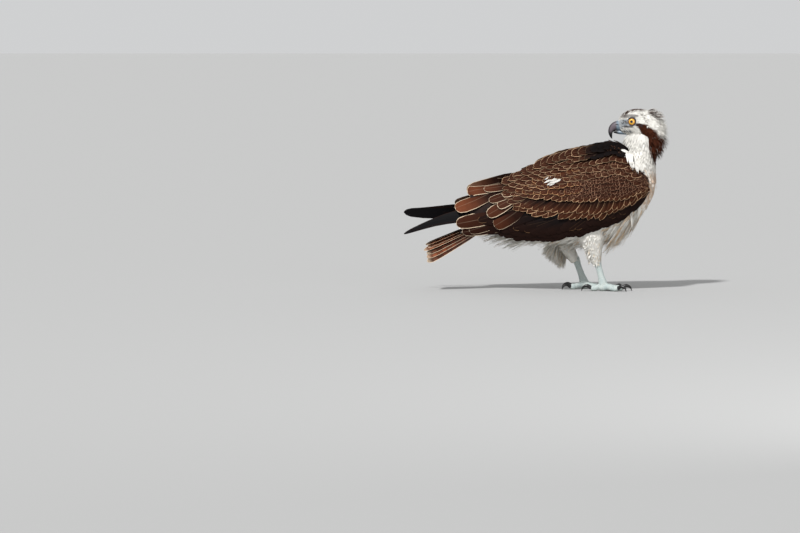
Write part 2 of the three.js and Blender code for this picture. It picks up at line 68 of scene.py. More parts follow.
# Rows of [x, top z, bottom z, half width] that the body, head and folded wing are lofted through
TORSO_ROWS = np.array([
    [-236, 176, 136, 14],
    [-200, 202, 116, 26],
    [-150, 233, 101, 40],
    [-90, 260, 96, 53],
    [-30, 276, 94, 60],
    [20, 292, 100, 60],
    [50, 290, 115, 56],
    [84, 266, 154, 45],
    [103, 240, 186, 24],
    [107, 226, 200, 10],
], float)
HEAD_ROWS = np.array([
    [-47, -4, -30, 8],
    [-41, 8, -42, 17],
    [-30, 17, -44, 24],
    [-16, 24, -38, 27],
    [0, 28, -31, 27],
    [16, 27, -26, 24],
    [30, 22.5, -22, 19],
    [40, 14, -18, 13],
    [47, 3, -13, 7],
], float)
WING_ROWS = np.array([
    [-396, 160, 126, 18],
    [-330, 172, 122, 24],
    [-260, 197, 118, 33],
    [-200, 214, 111, 47],
    [-140, 244, 100, 62],
    [-80, 267, 104, 73],
    [-20, 280, 118, 78],
    [30, 286, 138, 76],
    [70, 258, 166, 69],
    [90, 232, 184, 58],
    [96, 214, 196, 50],
], float)
NECK_PATH = [[68, 0, 222], [77, 0, 262], [82, 0, 300], [84, 0, 330]]
NECK_SIZE = [[44, 40], [33, 35], [34, 28], [22, 17]]
LEGS = {
    "right": {
        "side": -1,
        "hip": [-24, -34, 128],
        "knee": [-15, -33, 92],
        "hock": [-8, -30, 56],
        "ankle": [5, -30, 13],
        "thigh": [31, 26, 14.5, 8.6],
        "fluff": 0.45,
        "toes": [(4, 38, 1), (-30, 33, 0.95), (38, 34, 0.95), (178, 24, 1)],
    },
    "left": {
        "side": 1,
        "hip": [-58, 32, 122],
        "knee": [-70, 33, 94],
        "hock": [-48, 32, 57],
        "ankle": [-30, 32, 13],
        "thigh": [30, 27, 15, 8.6],
        "fluff": 1.35,
        "toes": [(6, 36, 0.95), (40, 33, 0.95), (150, 33, 1), (192, 26, 1)],
    },
}
HANDS = {
    "right": {"side": -1, "tip_z": 113, "tip_y": 17, "half": 10, "rise": 0},
    "left": {"side": 1, "tip_z": 156, "tip_y": 9, "half": 12.4, "rise": 9},
}


# Numbers and curves


def mix(a, b, t):
    return a + (b - a) * t


def smooth(t):
    t = np.clip(t, 0, 1)
    return t * t * (3 - 2 * t)


def unit(v):
    return v / np.maximum(np.linalg.norm(v, axis=-1, keepdims=True), 1e-9)


def tinted(tint, colour, share):
    """Many tints moved towards a colour, each by its own share."""
    return mix(tint, colour, np.asarray(share)[:, None])


def some(share, count):
    """Picks about a share of many feathers."""
    return draw(0, 1, count) < share


def stack(*columns):
    """Columns of numbers as the last axis, each widened to the size of the others."""
    return np.stack(np.broadcast_arrays(*columns), -1)


def travel(line):
    """How far along a line of points each point lies."""
    return np.concatenate([[0], np.cumsum(np.linalg.norm(np.diff(line, axis=0), axis=1))])


def dot(a, b):
    return np.sum(a * b, -1, keepdims=True)


def sample(rows, key, column):
    """A smooth value from rows keyed by their first number."""
    x = rows[:, 0]
    y = rows[:, column]
    slope = np.gradient(y, x, edge_order=1)
    slope[1:-1] = (y[2:] - y[:-2]) / (x[2:] - x[:-2])
    key = np.clip(key, x[0], x[-1])
    i = np.clip(np.searchsorted(x, key, side="right") - 1, 0, len(x) - 2)
    width = x[i + 1] - x[i]
    t = (key - x[i]) / width
    return (
        (2 * t**3 - 3 * t**2 + 1) * y[i]
        + (t**3 - 2 * t**2 + t) * width * slope[i]
        + (3 * t**2 - 2 * t**3) * y[i + 1]
        + (t**3 - t**2) * width * slope[i + 1]
    )


def curve(points, t):
    """A point at share t of a smooth curve through points."""
    p = np.array(points, float)
    p = np.vstack([2 * p[0] - p[1], p, 2 * p[-1] - p[-2]])
    t = np.asarray(t, float)
    at = np.clip(t, 0, 1) * (len(p) - 3)
    i = np.clip(at.astype(int), 0, len(p) - 4)
    f = (at - i)[..., None]
    a, b, c, d = p[i], p[i + 1], p[i + 2], p[i + 3]
    return 0.5 * (2 * b + (c - a) * f + (2 * a - 5 * b + 4 * c - d) * f**2 + (3 * b - a - 3 * c + d) * f**3)


def steps(values, t):
    """A value at share t along a list, straight between its entries."""
    return np.interp(np.clip(t, 0, 1), np.linspace(0, 1, len(values)), values)


def srgb(red, green, blue):
    """Linear colour of a screen colour given from 0 to 255."""
    c = np.array([red, green, blue]) / 255
    return np.where(c <= 0.04045, c / 12.92, ((c + 0.055) / 1.055) ** 2.4)


# Surfaces: each takes two parameters and a height above the surface


def section(rows, x, grow):
    """Middle height, half height and half width of a loft at x."""
    top = sample(rows, x, 1) + grow
    bottom = sample(rows, x, 2) - grow
    return (top + bottom) / 2, (top - bottom) / 2, sample(rows, x, 3) + grow


def loft(rows, x, turn, grow):
    middle, high, half = section(rows, x, grow)
    side = np.cos(turn)
    return stack(x, half * np.sign(side) * np.abs(side) ** SQUARE, middle + high * np.sin(turn))


def centre_line(rows, x):
    return stack(x, 0, section(rows, x, 0)[0])


def torso_at(x, turn, grow=0.0):
    return loft(TORSO_ROWS, x, turn, grow)


def torso_centre(x):
    return centre_line(TORSO_ROWS, x)


def turned(p, angle):
    """Points or directions turned about the vertical."""
    c, s = math.cos(angle), math.sin(angle)
    return stack(c * p[..., 0] - s * p[..., 1], s * p[..., 0] + c * p[..., 1], p[..., 2])


def head_world(p):
    return turned(p, HEAD_YAW) + HEAD_AT


def head_local(p):
    return turned(p - HEAD_AT, -HEAD_YAW)


def head_at(x, turn, grow=0.0):
    return head_world(loft(HEAD_ROWS, x, turn, grow))


def head_centre(x):
    return head_world(centre_line(HEAD_ROWS, x))


def tube_at(path, sizes, t, turn, grow=0.0):
    """A tube along a path, with [front radius, side radius] pairs spread evenly along it."""
    start = np.clip(t, 0, 0.99)
    along = unit(curve(path, start + 0.01) - curve(path, start))
    side = unit(Y_AXIS - along * dot(Y_AXIS, along))
    front = (steps([s[0] for s in sizes], t) + grow) * np.sin(turn)
    wide = (steps([s[1] for s in sizes], t) + grow) * np.cos(turn)
    return curve(path, t) + side * wide[..., None] + np.cross(along, side) * front[..., None]


def neck_at(t, turn, grow=0.0):
    return tube_at(NECK_PATH, NECK_SIZE, t, turn, grow)


def neck_middle(t):
    return curve(NECK_PATH, t)


def thigh_path(leg):
    return [leg["hip"], leg["knee"], leg["hock"]]


def thigh_surface(leg):
    a, b, c, d = leg["thigh"]
    sizes = [[a, a * 0.72], [b, b * 0.74], [c, c * 0.95], [d, d]]
    return lambda t, turn, grow=0.0: tube_at(thigh_path(leg), sizes, t, turn, grow)


def wing_top(x):
    return sample(WING_ROWS, x, 1)


def wing_bottom(x):
    return sample(WING_ROWS, x, 2)


def wing_raw(x, z):
    down = np.clip((wing_top(x) - z) / (wing_top(x) - wing_bottom(x)), -0.1, 1.1)
    opened = mix(0.03, 0.14, np.clip((x + 190) / 220, 0, 1))
    crown = np.sin(math.pi / 2 * np.minimum(1, (np.maximum(0, down) + opened) / (0.5 + opened)))
    tuck = np.where(down > 0.5, (down - 0.5) ** 2, 0)
    return stack(x, sample(WING_ROWS, x, 3) * (0.06 + 0.94 * crown - tuck), z)


def wing_surface(side):
    """The folded wing seen from the side: height z at length x."""

    def at(x, z, grow=0.0):
        x, z = np.broadcast_arrays(np.asarray(x, float), np.asarray(z, float))
        p = wing_raw(x, z)
        normal = unit(np.cross(wing_raw(x, z + 1) - p, wing_raw(x + 1, z) - p))
        normal = normal * np.where(normal[..., 1:2] < 0, -1, 1)
        p = p + normal * np.asarray(grow)[..., None]
        return p * [1, side, 1]

    return at


def lie_of(surface, u, v, du, dv, inside):
    """Place, slopes along u and v, and outward normal of a surface."""
    p = surface(u, v)
    a = (surface(u + du, v) - surface(u - du, v)) / (2 * du)
    b = (surface(u, v + dv) - surface(u, v - dv)) / (2 * dv)
    normal = unit(np.cross(a, b))
    return p, a, b, np.where(dot(normal, p - inside(u)) < 0, -normal, normal)


def inside_loft(rows, p, grow=0.0):
    x = p[..., 0]
    middle, high, half = section(rows, x, grow)
    y = (np.abs(p[..., 1]) / half) ** (1 / SQUARE)
    z = (p[..., 2] - middle) / high
    return (x > rows[0, 0] - grow) & (x < rows[-1, 0] + grow) & (y**2 + z**2 < 1)


def inside_tube(path, sizes, p, grow=0.0):
    t = np.linspace(0, 1, 40)
    line = curve(path, t)
    away = np.linalg.norm(p[..., None, :] - line, axis=-1)
    near = np.argmin(away, -1)
    radius = steps([(s[0] + s[1]) / 2 for s in sizes], t)[near] + grow
    return np.min(away, -1) < radius


# Places in the bake map: one chart for each region, unrolled from the region's own shape

REGIONS = ["torso", "wing_right", "wing_left", "tail", "neck", "head", "thigh_right", "thigh_left"]
CHARTS = {
    name: (0.01 + 0.25 * (i % 4), 0.01 + 0.5 * (i // 4), 0.23, 0.48)
    for i, name in enumerate(REGIONS)
}


def around(p, centre, first, second):
    """Share of a turn round a centre line, from the second axis towards the first."""
    q = p - centre
    return (np.arctan2(q @ first, q @ second) / ROUND) % 1


def chart_place(region, p):
    """Where points of a region lie in the bake map."""
    x, y, z = p[..., 0], p[..., 1], p[..., 2]
    if region == "torso":
        u = (x + 240) / 350
        v = around(p, stack(x, 0, sample(TORSO_ROWS, x, 1) - 80), Y_AXIS, Z_AXIS)
    elif region.startswith("wing"):
        u = (x + 400) / 505
        v = np.arctan2(np.abs(y), z - (wing_top(x) + wing_bottom(x)) / 2) / math.pi
    elif region == "tail":
        u = (x + 360) / 160
        v = (y + 45) / 90
    elif region == "neck":
        u = (z - 190) / 150
        v = around(p, stack(80, 0, z), Y_AXIS, X_AXIS)
    elif region == "head":
        q = head_local(p)
        u = (q[..., 0] + 60) / 125
        v = around(q, q * X_AXIS, Y_AXIS, Z_AXIS)
    else:
        leg = LEGS[region.split("_")[1]]
        high, low = leg["hip"][2], leg["hock"][2]
        u = (z - 40) / 100
        v = around(p, curve(thigh_path(leg), (high - z) / (high - low)), Y_AXIS, X_AXIS)
    left, low, wide, high = CHARTS[region]
    return stack(left + wide * np.clip(u, 0, 1), low + high * np.clip(v, 0, 1))


# Meshes


def link(name, data):
    made = bpy.data.objects.new(name, data)
    bpy.context.scene.collection.objects.link(made)
    return made


def new_object(name, verts, loops, starts, totals, material):
    """A mesh object from arrays of corners in millimetres."""
    mesh = bpy.data.meshes.new(name)
    mesh.vertices.add(len(verts))
    mesh.vertices.foreach_set("co", ((verts + SHIFT) * MM).astype(np.float32).ravel())
    mesh.loops.add(len(loops))
    mesh.loops.foreach_set("vertex_index", loops.astype(np.int32))
    mesh.polygons.add(len(starts))
    mesh.polygons.foreach_set("loop_start", starts.astype(np.int32))
    mesh.polygons.foreach_set("loop_total", totals.astype(np.int32))
    mesh.polygons.foreach_set("use_smooth", np.ones(len(starts), bool))
    mesh.update(calc_edges=True)
    mesh.validate()
    mesh.materials.append(material)
    return link(name, mesh)


def set_colour(mesh, name, values):
    layer = mesh.color_attributes.new(name, "FLOAT_COLOR", "POINT")
    rgba = np.ones((len(mesh.vertices), 4), np.float32)
    rgba[:, : values.shape[1]] = values
    layer.data.foreach_set("color", rgba.ravel())


def set_uv(mesh, name, values):
    layer = mesh.uv_layers.new(name=name)
    layer.data.foreach_set("uv", values.astype(np.float32).ravel())


def read(items, name, wide=1):
    """Whole numbers read from all the parts of a mesh, wide of them for each."""
    found = np.empty(len(items) * wide, np.int32)
    items.foreach_get(name, found)
    return found.reshape(-1, wide) if wide > 1 else found


# Outlines of feathers, as shares of the half width at shares of the length

SCALE = (np.array([0, 0.3, 0.55, 0.75, 0.9, 1]), np.array([0.55, 0.85, 1, 0.93, 0.62, 0.12]))
BLADE = (
    np.array([0, 0.15, 0.4, 0.65, 0.84, 0.94, 0.98, 1]),
    np.array([0.45, 0.8, 1, 1, 0.94, 0.76, 0.5, 0.14]),
)
WISP = (np.array([0, 0.25, 0.5, 0.75, 1]), np.array([0.75, 1, 0.85, 0.5, 0.06]))
BROAD = np.array([-1, -0.5, 0, 0.5, 1])
NARROW = np.array([-1.0, 0.0, 1.0])
CODED = 0.1  # reach and edge width are stored in centimetres


def declare(made, slot, nodes):
    """What a piece rides on and which solids it stands in for; the slot it is given is not used."""
    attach(made, "root")
    if nodes:
        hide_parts(*nodes)


class Coat:
    """Many feathers gathered into one mesh, each a closed thin vane."""

    def __init__(self, name, paint, slot, nodes=()):
        self.name, self.paint, self.slot, self.nodes = name, paint, slot, nodes
        self.lists = {}
        self.roots = []
        self.count = 0
        self.corners = 0

    def keep(self, **arrays):
        """Puts each array at the end of its own list."""
        for key, values in arrays.items():
            self.lists.setdefault(key, []).append(values)

    def add(self, region, path, normal, half, outline, tint, fringe, edge, across=BROAD,
            thick=0.35, cup=0.016, roll=0.0):
        """Adds k feathers, each along a path of j stops, with n points round each stop."""
        stops, shape = outline
        k, j = path.shape[:2]
        along = unit(np.gradient(path, axis=1))
        flat = unit(normal - along * dot(normal, along))
        level = np.cross(flat, along)
        turn = np.broadcast_to(roll, (k,))[:, None, None]
        side = level * np.cos(turn) + flat * np.sin(turn)
        normal = flat * np.cos(turn) - level * np.sin(turn)
        width = np.broadcast_to(half, (k,))[:, None, None] * shape[:, None]
        reach = width * across
        rise = thick * 0.5 * (1 - across**2) - cup * reach**2
        top = path[:, :, None] + side[:, :, None] * reach[..., None] + normal[:, :, None] * rise[..., None]
        under = path - normal * thick * 0.5
        ring = np.concatenate([top, under[:, :, None]], 2)
        n = ring.shape[2]
        index = self.count + np.arange(k * j * n).reshape(k, j, n)
        ahead = np.roll(index, -1, axis=2)
        quads = stack(index[:, :-1], index[:, 1:], ahead[:, 1:], ahead[:, :-1]).ravel()
        caps = np.concatenate([index[:, 0], index[:, -1, ::-1]]).ravel()
        totals = np.repeat([4, n], [len(quads) // 4, 2 * k])
        starts = self.corners + np.cumsum(totals) - totals
        self.corners += len(quads) + len(caps)
        self.count += index.size
        rims = np.zeros((k, j, n), np.int8)
        rims[..., 0] = 1
        rims[..., n - 2] = 2
        tint = np.asarray(tint, float)
        if tint.ndim < 3:
            tint = np.broadcast_to(np.atleast_2d(tint)[:, None], (k, j, 3))
        pale = np.empty((k, j, n, 4))
        pale[..., :3] = np.broadcast_to(np.atleast_2d(fringe), (k, 3))[:, None, None]
        pale[..., 3] = np.broadcast_to(edge, (k,))[:, None, None] * CODED
        long = np.linalg.norm(path[:, -1] - path[:, 0], axis=-1)[:, None, None]
        to_side = width * np.append(1 - np.abs(across), 1.0)
        vane = stack(np.append((across + 1) / 2, 0.5), stops[:, None])
        vane = np.broadcast_to(vane, (k, j, n, 2))
        root = chart_place(region, path[:, 0])
        self.keep(
            verts=ring.reshape(-1, 3),
            rims=rims.ravel(),
            loops=np.concatenate([quads, caps]),
            starts=starts,
            totals=totals,
            tint=np.repeat(tint[:, :, None], n, 2).reshape(-1, 3),
            fringe=pale.reshape(-1, 4),
            vane=vane.reshape(-1, 2),
            reach=stack(to_side, long * (1 - stops[:, None])).reshape(-1, 2) * CODED,
            OFBake=(root[:, None, None] + PATCH * (vane - 0.5)).reshape(-1, 2),
        )
        self.roots.append((region, path[:, 0], tint[:, 0]))

    def wisps(self, region, path, normal, half, tint, fringe, thick=0.4, cup=0.02):
        """Adds narrow soft feathers that taper to a point."""
        self.add(region, path, normal, half, WISP, tint, fringe, 0.1, NARROW, thick, cup)

    def build(self):
        whole = {key: np.concatenate(values) for key, values in self.lists.items()}
        shape = [whole[key] for key in ("verts", "loops", "starts", "totals")]
        made = new_object(self.name, *shape, self.paint)
        mesh = made.data
        corners = read(mesh.loops, "vertex_index")
        flags = whole["rims"][read(mesh.edges, "vertices", 2)]
        mesh.edges.foreach_set("use_edge_sharp", (flags[:, 0] == flags[:, 1]) & (flags[:, 0] > 0))
        for key in ("OFBake", "vane", "reach"):
            set_uv(mesh, key, whole[key][corners])
        mesh.uv_layers.active = mesh.uv_layers["OFBake"]
        for key in ("tint", "fringe"):
            set_colour(mesh, key, whole[key])
        declare(made, self.slot, self.nodes)


# Laying feathers on a surface


def ring_rows(surface, keys, step):
    """Evenly spread, staggered places round a closed surface, one ring for each key."""
    turns = np.linspace(0, ROUND, 121)
    us, vs = [], []
    for row, key in enumerate(keys):
        far = travel(surface(np.full(len(turns), float(key)), turns))
        count = max(4, int(round(far[-1] / step)))
        at = (np.arange(count) + 0.5 * (row % 2) + draw(-0.18, 0.18, count)) / count * far[-1]
        us.append(np.full(count, float(key)))
        vs.append(np.interp(at % far[-1], far, turns))
    return np.concatenate(us), np.concatenate(vs)


def lay(surface, u, v, du, dv, flow, length, lift, stops, inside, limits):
    """Paths that start at places on a surface and follow it along a flow, rising from lift[0] to lift[1].

    Where the surface is too uneven to follow, a path runs straight instead.
    """
    p, a, b, normal = lie_of(surface, u, v, du, dv, inside)
    length = np.asarray(length)
    goal = unit(flow - normal * dot(flow, normal)) * length[:, None]
    aa, bb, ab = dot(a, a), dot(b, b), dot(a, b)
    ga, gb = dot(goal, a), dot(goal, b)
    det = np.maximum(aa * bb - ab * ab, 1e-6)
    uu = np.clip(u[:, None] + (ga * bb - gb * ab) / det * stops, *limits)
    vv = v[:, None] + (gb * aa - ga * ab) / det * stops
    low, high = (np.broadcast_to(value, len(u))[:, None] for value in lift)
    rise = (low + (high - low) * stops**1.3)[..., None]
    on, _, _, normals = lie_of(surface, uu, vv, du, dv, inside)
    path = on + normals * rise
    straight = p[:, None] + goal[:, None] * stops[:, None] + normal[:, None] * rise
    reach = np.linalg.norm(path[:, -1] - path[:, 0], axis=-1)
    weak = ((reach < 0.6 * length) | (reach > 1.5 * length))[:, None, None]
    return np.where(weak, straight, path), np.where(weak, normal[:, None], normals)


def sprout(root, way, length, droop):
    """Paths of wisps that leave their roots along a way and droop towards the tip."""
    stops = WISP[0][:, None]
    return root[:, None] + way[:, None] * (length[:, None, None] * stops) - droop * stops**2 * Z_AXIS


def each_stop(values, stops):
    """The same value for every stop of a path."""
    return np.repeat(values[:, None], len(stops), 1)


def vary(colour, count, amount=0.18):
    """One shade of a colour for each of many feathers."""
    return np.atleast_2d(colour) * (1 + draw(-amount, amount, (count, 1)))


# Materials


class Paint:
    """A material under way, with short ways to add the nodes it needs."""

    def __init__(self, name, roughness, specular=0.3):
        self.material = bpy.data.materials.new(name)
        self.material.use_nodes = True
        self.tree = self.material.node_tree
        self.shader = self.tree.nodes["Principled BSDF"]
        self.fill(self.shader, {"Roughness": roughness, "Specular IOR Level": specular})

    def fill(self, made, inputs):
        """Sets or links inputs of a node."""
        for key, value in dict(inputs).items():
            if isinstance(value, bpy.types.NodeSocket):
                self.tree.links.new(value, made.inputs[key])
            else:
                made.inputs[key].default_value = value

    def node(self, kind, inputs=(), **settings):
        made = self.tree.nodes.new("ShaderNode" + kind)
        for key, value in settings.items():
            setattr(made, key, value)
        self.fill(made, inputs)
        return made

    def attribute(self, name):
        return self.node("Attribute", attribute_name=name)

    def pair(self, name):
        """Both numbers of a UV layer."""
        found = self.node("UVMap", uv_map=name)
        return self.node("SeparateXYZ", {"Vector": found.outputs[0]}).outputs[:2]

    def math(self, operation, *values):
        return self.node("Math", enumerate(values), operation=operation).outputs[0]

    def scaled(self, value, factor, offset=0.0):
        return self.math("MULTIPLY_ADD", value, factor, offset)

    def ramp(self, value, low, high):
        """A smooth step from 0 at low to 1 at high."""
        inputs = {"Value": value, "From Min": low, "From Max": high}
        return self.node("MapRange", inputs, interpolation_type="SMOOTHSTEP").outputs["Result"]

    def spot(self):
        return self.node("TexCoord").outputs["Object"]

    def noise(self, spot, scale, detail=3.0):
        return self.node("TexNoise", {"Vector": spot, "Scale": scale, "Detail": detail}).outputs["Fac"]

    def blend(self, share, a, b, mode="MIX"):
        inputs = {0: share, 6: a, 7: b}
        return self.node("Mix", inputs, data_type="RGBA", blend_type=mode).outputs[2]

    def finish(self, colour, shade, height, strength, distance):
        """The shader gets a colour darkened by a grey shade, and the bump of a height."""
        grey = self.node("CombineColor", enumerate([shade] * 3)).outputs[0]
        bump = self.node("Bump", {"Height": height, "Strength": strength, "Distance": distance})
        base = self.blend(1.0, colour, grey, "MULTIPLY")
        self.fill(self.shader, {"Base Color": base, "Normal": bump.outputs[0]})
        return self.material


def feather_material(name, roughness=0.62, bars=0.0):
    """Feathers: a tint, a paler fringe along the edge, a shaft, fine barbs and, if asked, cross bars."""
    paint = Paint(name, roughness, 0.07)
    colour = paint.attribute("tint").outputs["Color"]
    fringe = paint.attribute("fringe")
    across, along = paint.pair("vane")
    side = paint.math("ABSOLUTE", paint.scaled(across, 2.0, -1.0))
    spot = paint.spot()
    wobble = paint.scaled(paint.noise(spot, 900.0), 0.06, -0.03)
    away = paint.math("ADD", paint.math("MINIMUM", *paint.pair("reach")), wobble)
    wide = fringe.outputs["Alpha"]
    edge = paint.ramp(away, paint.scaled(wide, 1.15, 0.012), paint.scaled(wide, 0.6))
    edge = paint.math("MULTIPLY", edge, paint.ramp(along, 0.2, 0.75))
    slant = paint.math("ADD", along, paint.scaled(side, -0.35))
    barbs = paint.math("SINE", paint.scaled(slant, 90.0))
    patchy = paint.ramp(paint.noise(spot, 120.0), 0.25, 0.8)
    if bars:
        pale = paint.ramp(paint.math("SINE", paint.scaled(along, bars)), 0.1, 0.6)
        pale = paint.math("MULTIPLY", pale, paint.ramp(side, 0.08, 0.35))
        barred = paint.blend(1.0, colour, (2.1, 1.9, 1.8, 1), "MULTIPLY")
        colour = paint.blend(paint.scaled(pale, 0.7), colour, barred)
    shaft = paint.scaled(paint.ramp(side, 0.06, 0.02), 0.1)
    for share in (shaft, edge):
        colour = paint.blend(share, colour, fringe.outputs["Color"])
    shade = paint.math("MULTIPLY", paint.scaled(barbs, 0.07, 0.95), paint.scaled(patchy, 0.18, 0.9))
    return paint.finish(colour, shade, barbs, 0.12, 0.0004)


def skin_material():
    """The skin under the feathers, with the same markings and a downy grain."""
    paint = Paint("plumage_under", 0.85)
    colour = paint.attribute("tint").outputs["Color"]
    down = paint.ramp(paint.noise(paint.spot(), 260.0, 6.0), 0.2, 0.8)
    return paint.finish(colour, paint.scaled(down, 0.2, 0.8), down, 0.4, 0.0008)


def painted_material(name, roughness, specular, scale, grain, strength, cells=False):
    """A surface painted by its tint attribute, with fine grain or small scales."""
    paint = Paint(name, roughness, specular)
    colour = paint.attribute("tint").outputs["Color"]
    spot = paint.spot()
    if cells:
        found = paint.node("TexVoronoi", {"Vector": spot, "Scale": scale}, feature="DISTANCE_TO_EDGE")
        value = paint.ramp(found.outputs["Distance"], 0.0, 0.16)
    else:
        value = paint.noise(spot, scale, 5.0)
    shade = paint.scaled(value, grain, 1 - grain * 0.75)
    return paint.finish(colour, shade, value, strength, 0.0006)


# Plumage colours
WHITE = srgb(228, 225, 218)
CREAM = srgb(220, 202, 176)
BUFF = srgb(196, 150, 108)
WARM = srgb(168, 118, 90)
DARK = srgb(32, 15, 9)
BLACKISH = srgb(16, 11, 11)
RUFOUS = srgb(94, 50, 29)
STRIPE = srgb(66, 33, 19)
BLACK = srgb(10, 9, 11)

plume = feather_material("plumage", roughness=0.7)
tail_plume = feather_material("tail_plumage", bars=44.0)
glossy_plume = feather_material("flight_plumage", roughness=0.6)
coats = []


def coat(name, paint, slot, nodes=()):
    """Starts a coat and puts it on the list of those to build."""
    made = Coat(name, paint, slot, nodes)
    coats.append(made)
    return made


# Body feathers

BODY_ENDS = (-236, 107)  # the first and last x of the torso


def covered_by_wing(p):
    x, z = p[..., 0], p[..., 2]
    return (z < wing_top(x) - 16) & (z > wing_bottom(x) + 14) & (x < 88) & (x > -215)


def body_colours(p, count):
    """White below, buff on the breast side, dark on the back."""
    x, z = p[..., 0], p[..., 2]
    tint = vary(WHITE, count, 0.06)
    wash = smooth((z - 165) / 40) * smooth((252 - z) / 20) * smooth((x - 70) / 20)
    tint = tinted(tint, BUFF, 0.75 * wash * draw(0.2, 1.0, count))
    tint = tinted(tint, CREAM * 0.85, 0.8 * (some(0.22, count) & (x > 20) & (z < 170)))
    tint = tinted(tint, CREAM * 0.8, 0.7 * (some(0.35, count) & (x < -120) & (z < 150)))
    back = ((z > wing_top(x) - 30) & (x < 60)) | ((x < -176) & (z > 128))
    dark = np.where((x > -30)[:, None], vary(BLACKISH, count), vary(DARK, count))
    return tinted(tint, dark, back), back


def body_coat():
    made = coat("body_feathers", plume, "white_plumage")
    u, v = ring_rows(torso_at, np.arange(-232, 102, 6.5), 6.6)
    u = u + draw(-2, 2, len(u))
    p = torso_at(u, v)
    keep = ~covered_by_wing(p) & ~inside_tube(NECK_PATH, NECK_SIZE, p, -3)
    u, v, p = u[keep], v[keep], p[keep]
    count = len(u)
    x, z = p[:, 0], p[:, 2]
    tint, back = body_colours(p, count)
    front = smooth((x - 50) / 50)[:, None]
    flow = mix(np.array([-1, 0, -0.32]), np.array([-0.35, 0, -1.0]), front) + sway(0, 0.1, (count, 3))
    low = z < 150
    length = np.where(low, draw(26, 36, count), draw(20, 26, count))
    tip_lift = np.where(low, draw(1.5, 5, count), draw(1.2, 3, count))
    mantle = np.exp(-(((x - 44) / 16) ** 2)) * smooth((z - 268) / 16)
    tip_lift = tip_lift + 8 * mantle * draw(0.6, 1.1, count)
    lift = (-2.5, tip_lift)
    path, normal = lay(torso_at, u, v, 1.0, 0.02, flow, length, lift, SCALE[0], torso_centre, BODY_ENDS)
    half = np.where(low, 4.6, 5.6) * draw(0.85, 1.15, count)
    fringe = np.where(back[:, None], vary(WARM * 0.8, count), np.minimum(tint * 1.06, 0.93))
    edge = np.where(back & (x < -30), 1.0, 0.1)
    made.add("torso", path, normal, half, SCALE, tint, fringe, edge, roll=sway(0, 0.08, count))


LOOSE_AREAS = [
    # From x, to x, spread round the body, shortest, longest, how many, flow back, flow down
    (40, 94, 0.55, 36, 50, 620, -0.75, -0.9),
    (-40, 40, 0.35, 28, 40, 340, -0.9, -0.5),
    (-222, -120, 0.5, 40, 62, 760, -1.0, -0.55),
    (-120, -40, 0.45, 24, 34, 300, -1.0, -0.3),
]


def loose_coat():
    """Long soft feathers that hang from the breast, belly and vent."""
    made = coat("loose_feathers", plume, "white_plumage")
    stops = WISP[0]
    for low, high, spread, short, long, count, back, down in LOOSE_AREAS:
        u = draw(low, high, count)
        v = -math.pi / 2 + draw(-1, 1, count) * math.pi * spread
        p = torso_at(u, v)
        flow = stack(back, np.sign(p[:, 1]) * 0.1 + sway(0, 0.14, count), down + sway(0, 0.16, count))
        length = draw(short, long, count)
        held = length * 0.6
        path, normal = lay(torso_at, u, v, 1.0, 0.02, flow, held, (-3, 3), stops, torso_centre, BODY_ENDS)
        hang = stack(flow[:, 0] * length * 0.38, sway(0, 2.5, count), flow[:, 2] * length * 0.5 - 2)
        path = path + hang[:, None] * (stops**1.8)[:, None]
        # Random numbers stay in step with those of the body feathers
        body_colours(p, count)
        warm = some(np.where(u > 20, 0.34, 0.14), count)[:, None]
        tint = np.where(warm, vary(mix(CREAM, BUFF, 0.3), count, 0.1), vary(WHITE, count, 0.06))
        high_up = (p[:, 2] > wing_top(u) - 30) & (u < 60)
        tint = tinted(tint, vary(DARK, count), high_up)
        half = draw(1.7, 3.2, count)
        seen = (p[:, 2] < wing_bottom(p[:, 0]) + 4) | (p[:, 0] > 88)
        path, normal, half, tint = path[seen], normal[seen], half[seen], tint[seen]
        made.wisps("torso", path, normal, half, tint, tint * 0.92)
    breast_front(made)


def breast_x(y, z):
    """How far forward the breast or the root of the neck reaches at a height."""
    best = np.full(np.shape(y), 60.0)
    for x in np.arange(60.0, 114.0, 0.75):
        p = stack(x, y, z)
        inside = inside_loft(TORSO_ROWS, p) | inside_tube(NECK_PATH[:2], NECK_SIZE[:2], p, -3)
        best = np.where(inside, x, best)
    return best


def breast_front(made):
    """Feathers that run from the neck down over the front of the breast."""
    count = 900
    z = draw(150, 262, count)
    y = draw(-1, 1, count) * np.interp(z, [150, 185, 215, 262], [44, 50, 52, 40])
    length = draw(20, 30, count)
    lean = sway(0, 0.12, count)
    stops = WISP[0]
    ys = y[:, None] + (length * np.sin(lean))[:, None] * stops
    zs = z[:, None] - (length * np.cos(lean))[:, None] * stops
    rough = breast_x(ys, zs)
    xs = np.maximum(rough, rough[:, :1] - 18) - 1.5 + 3.5 * stops
    path = stack(xs, ys, zs)
    tint, _ = body_colours(path[:, 0], count)
    tint = tinted(tint, vary(mix(CREAM, BUFF, 0.5), count, 0.12), some(0.4, count) * 0.7)
    made.wisps("torso", path, unit(stack(1, 0.02 * ys, 0)), draw(2.4, 4.0, count), tint, tint * 0.95)


# Wings


def wing_lie(x, z):
    """Angle of a wing feather below the line to the tail."""
    high = smooth((z - wing_bottom(x)) / np.maximum(wing_top(x) - wing_bottom(x), 1) * 1.6 - 0.7)
    steep = mix(24, 72, smooth((x + 215) / 250))
    flat = mix(14, 30, smooth((x + 200) / 260))
    return np.radians(mix(steep, flat, high))


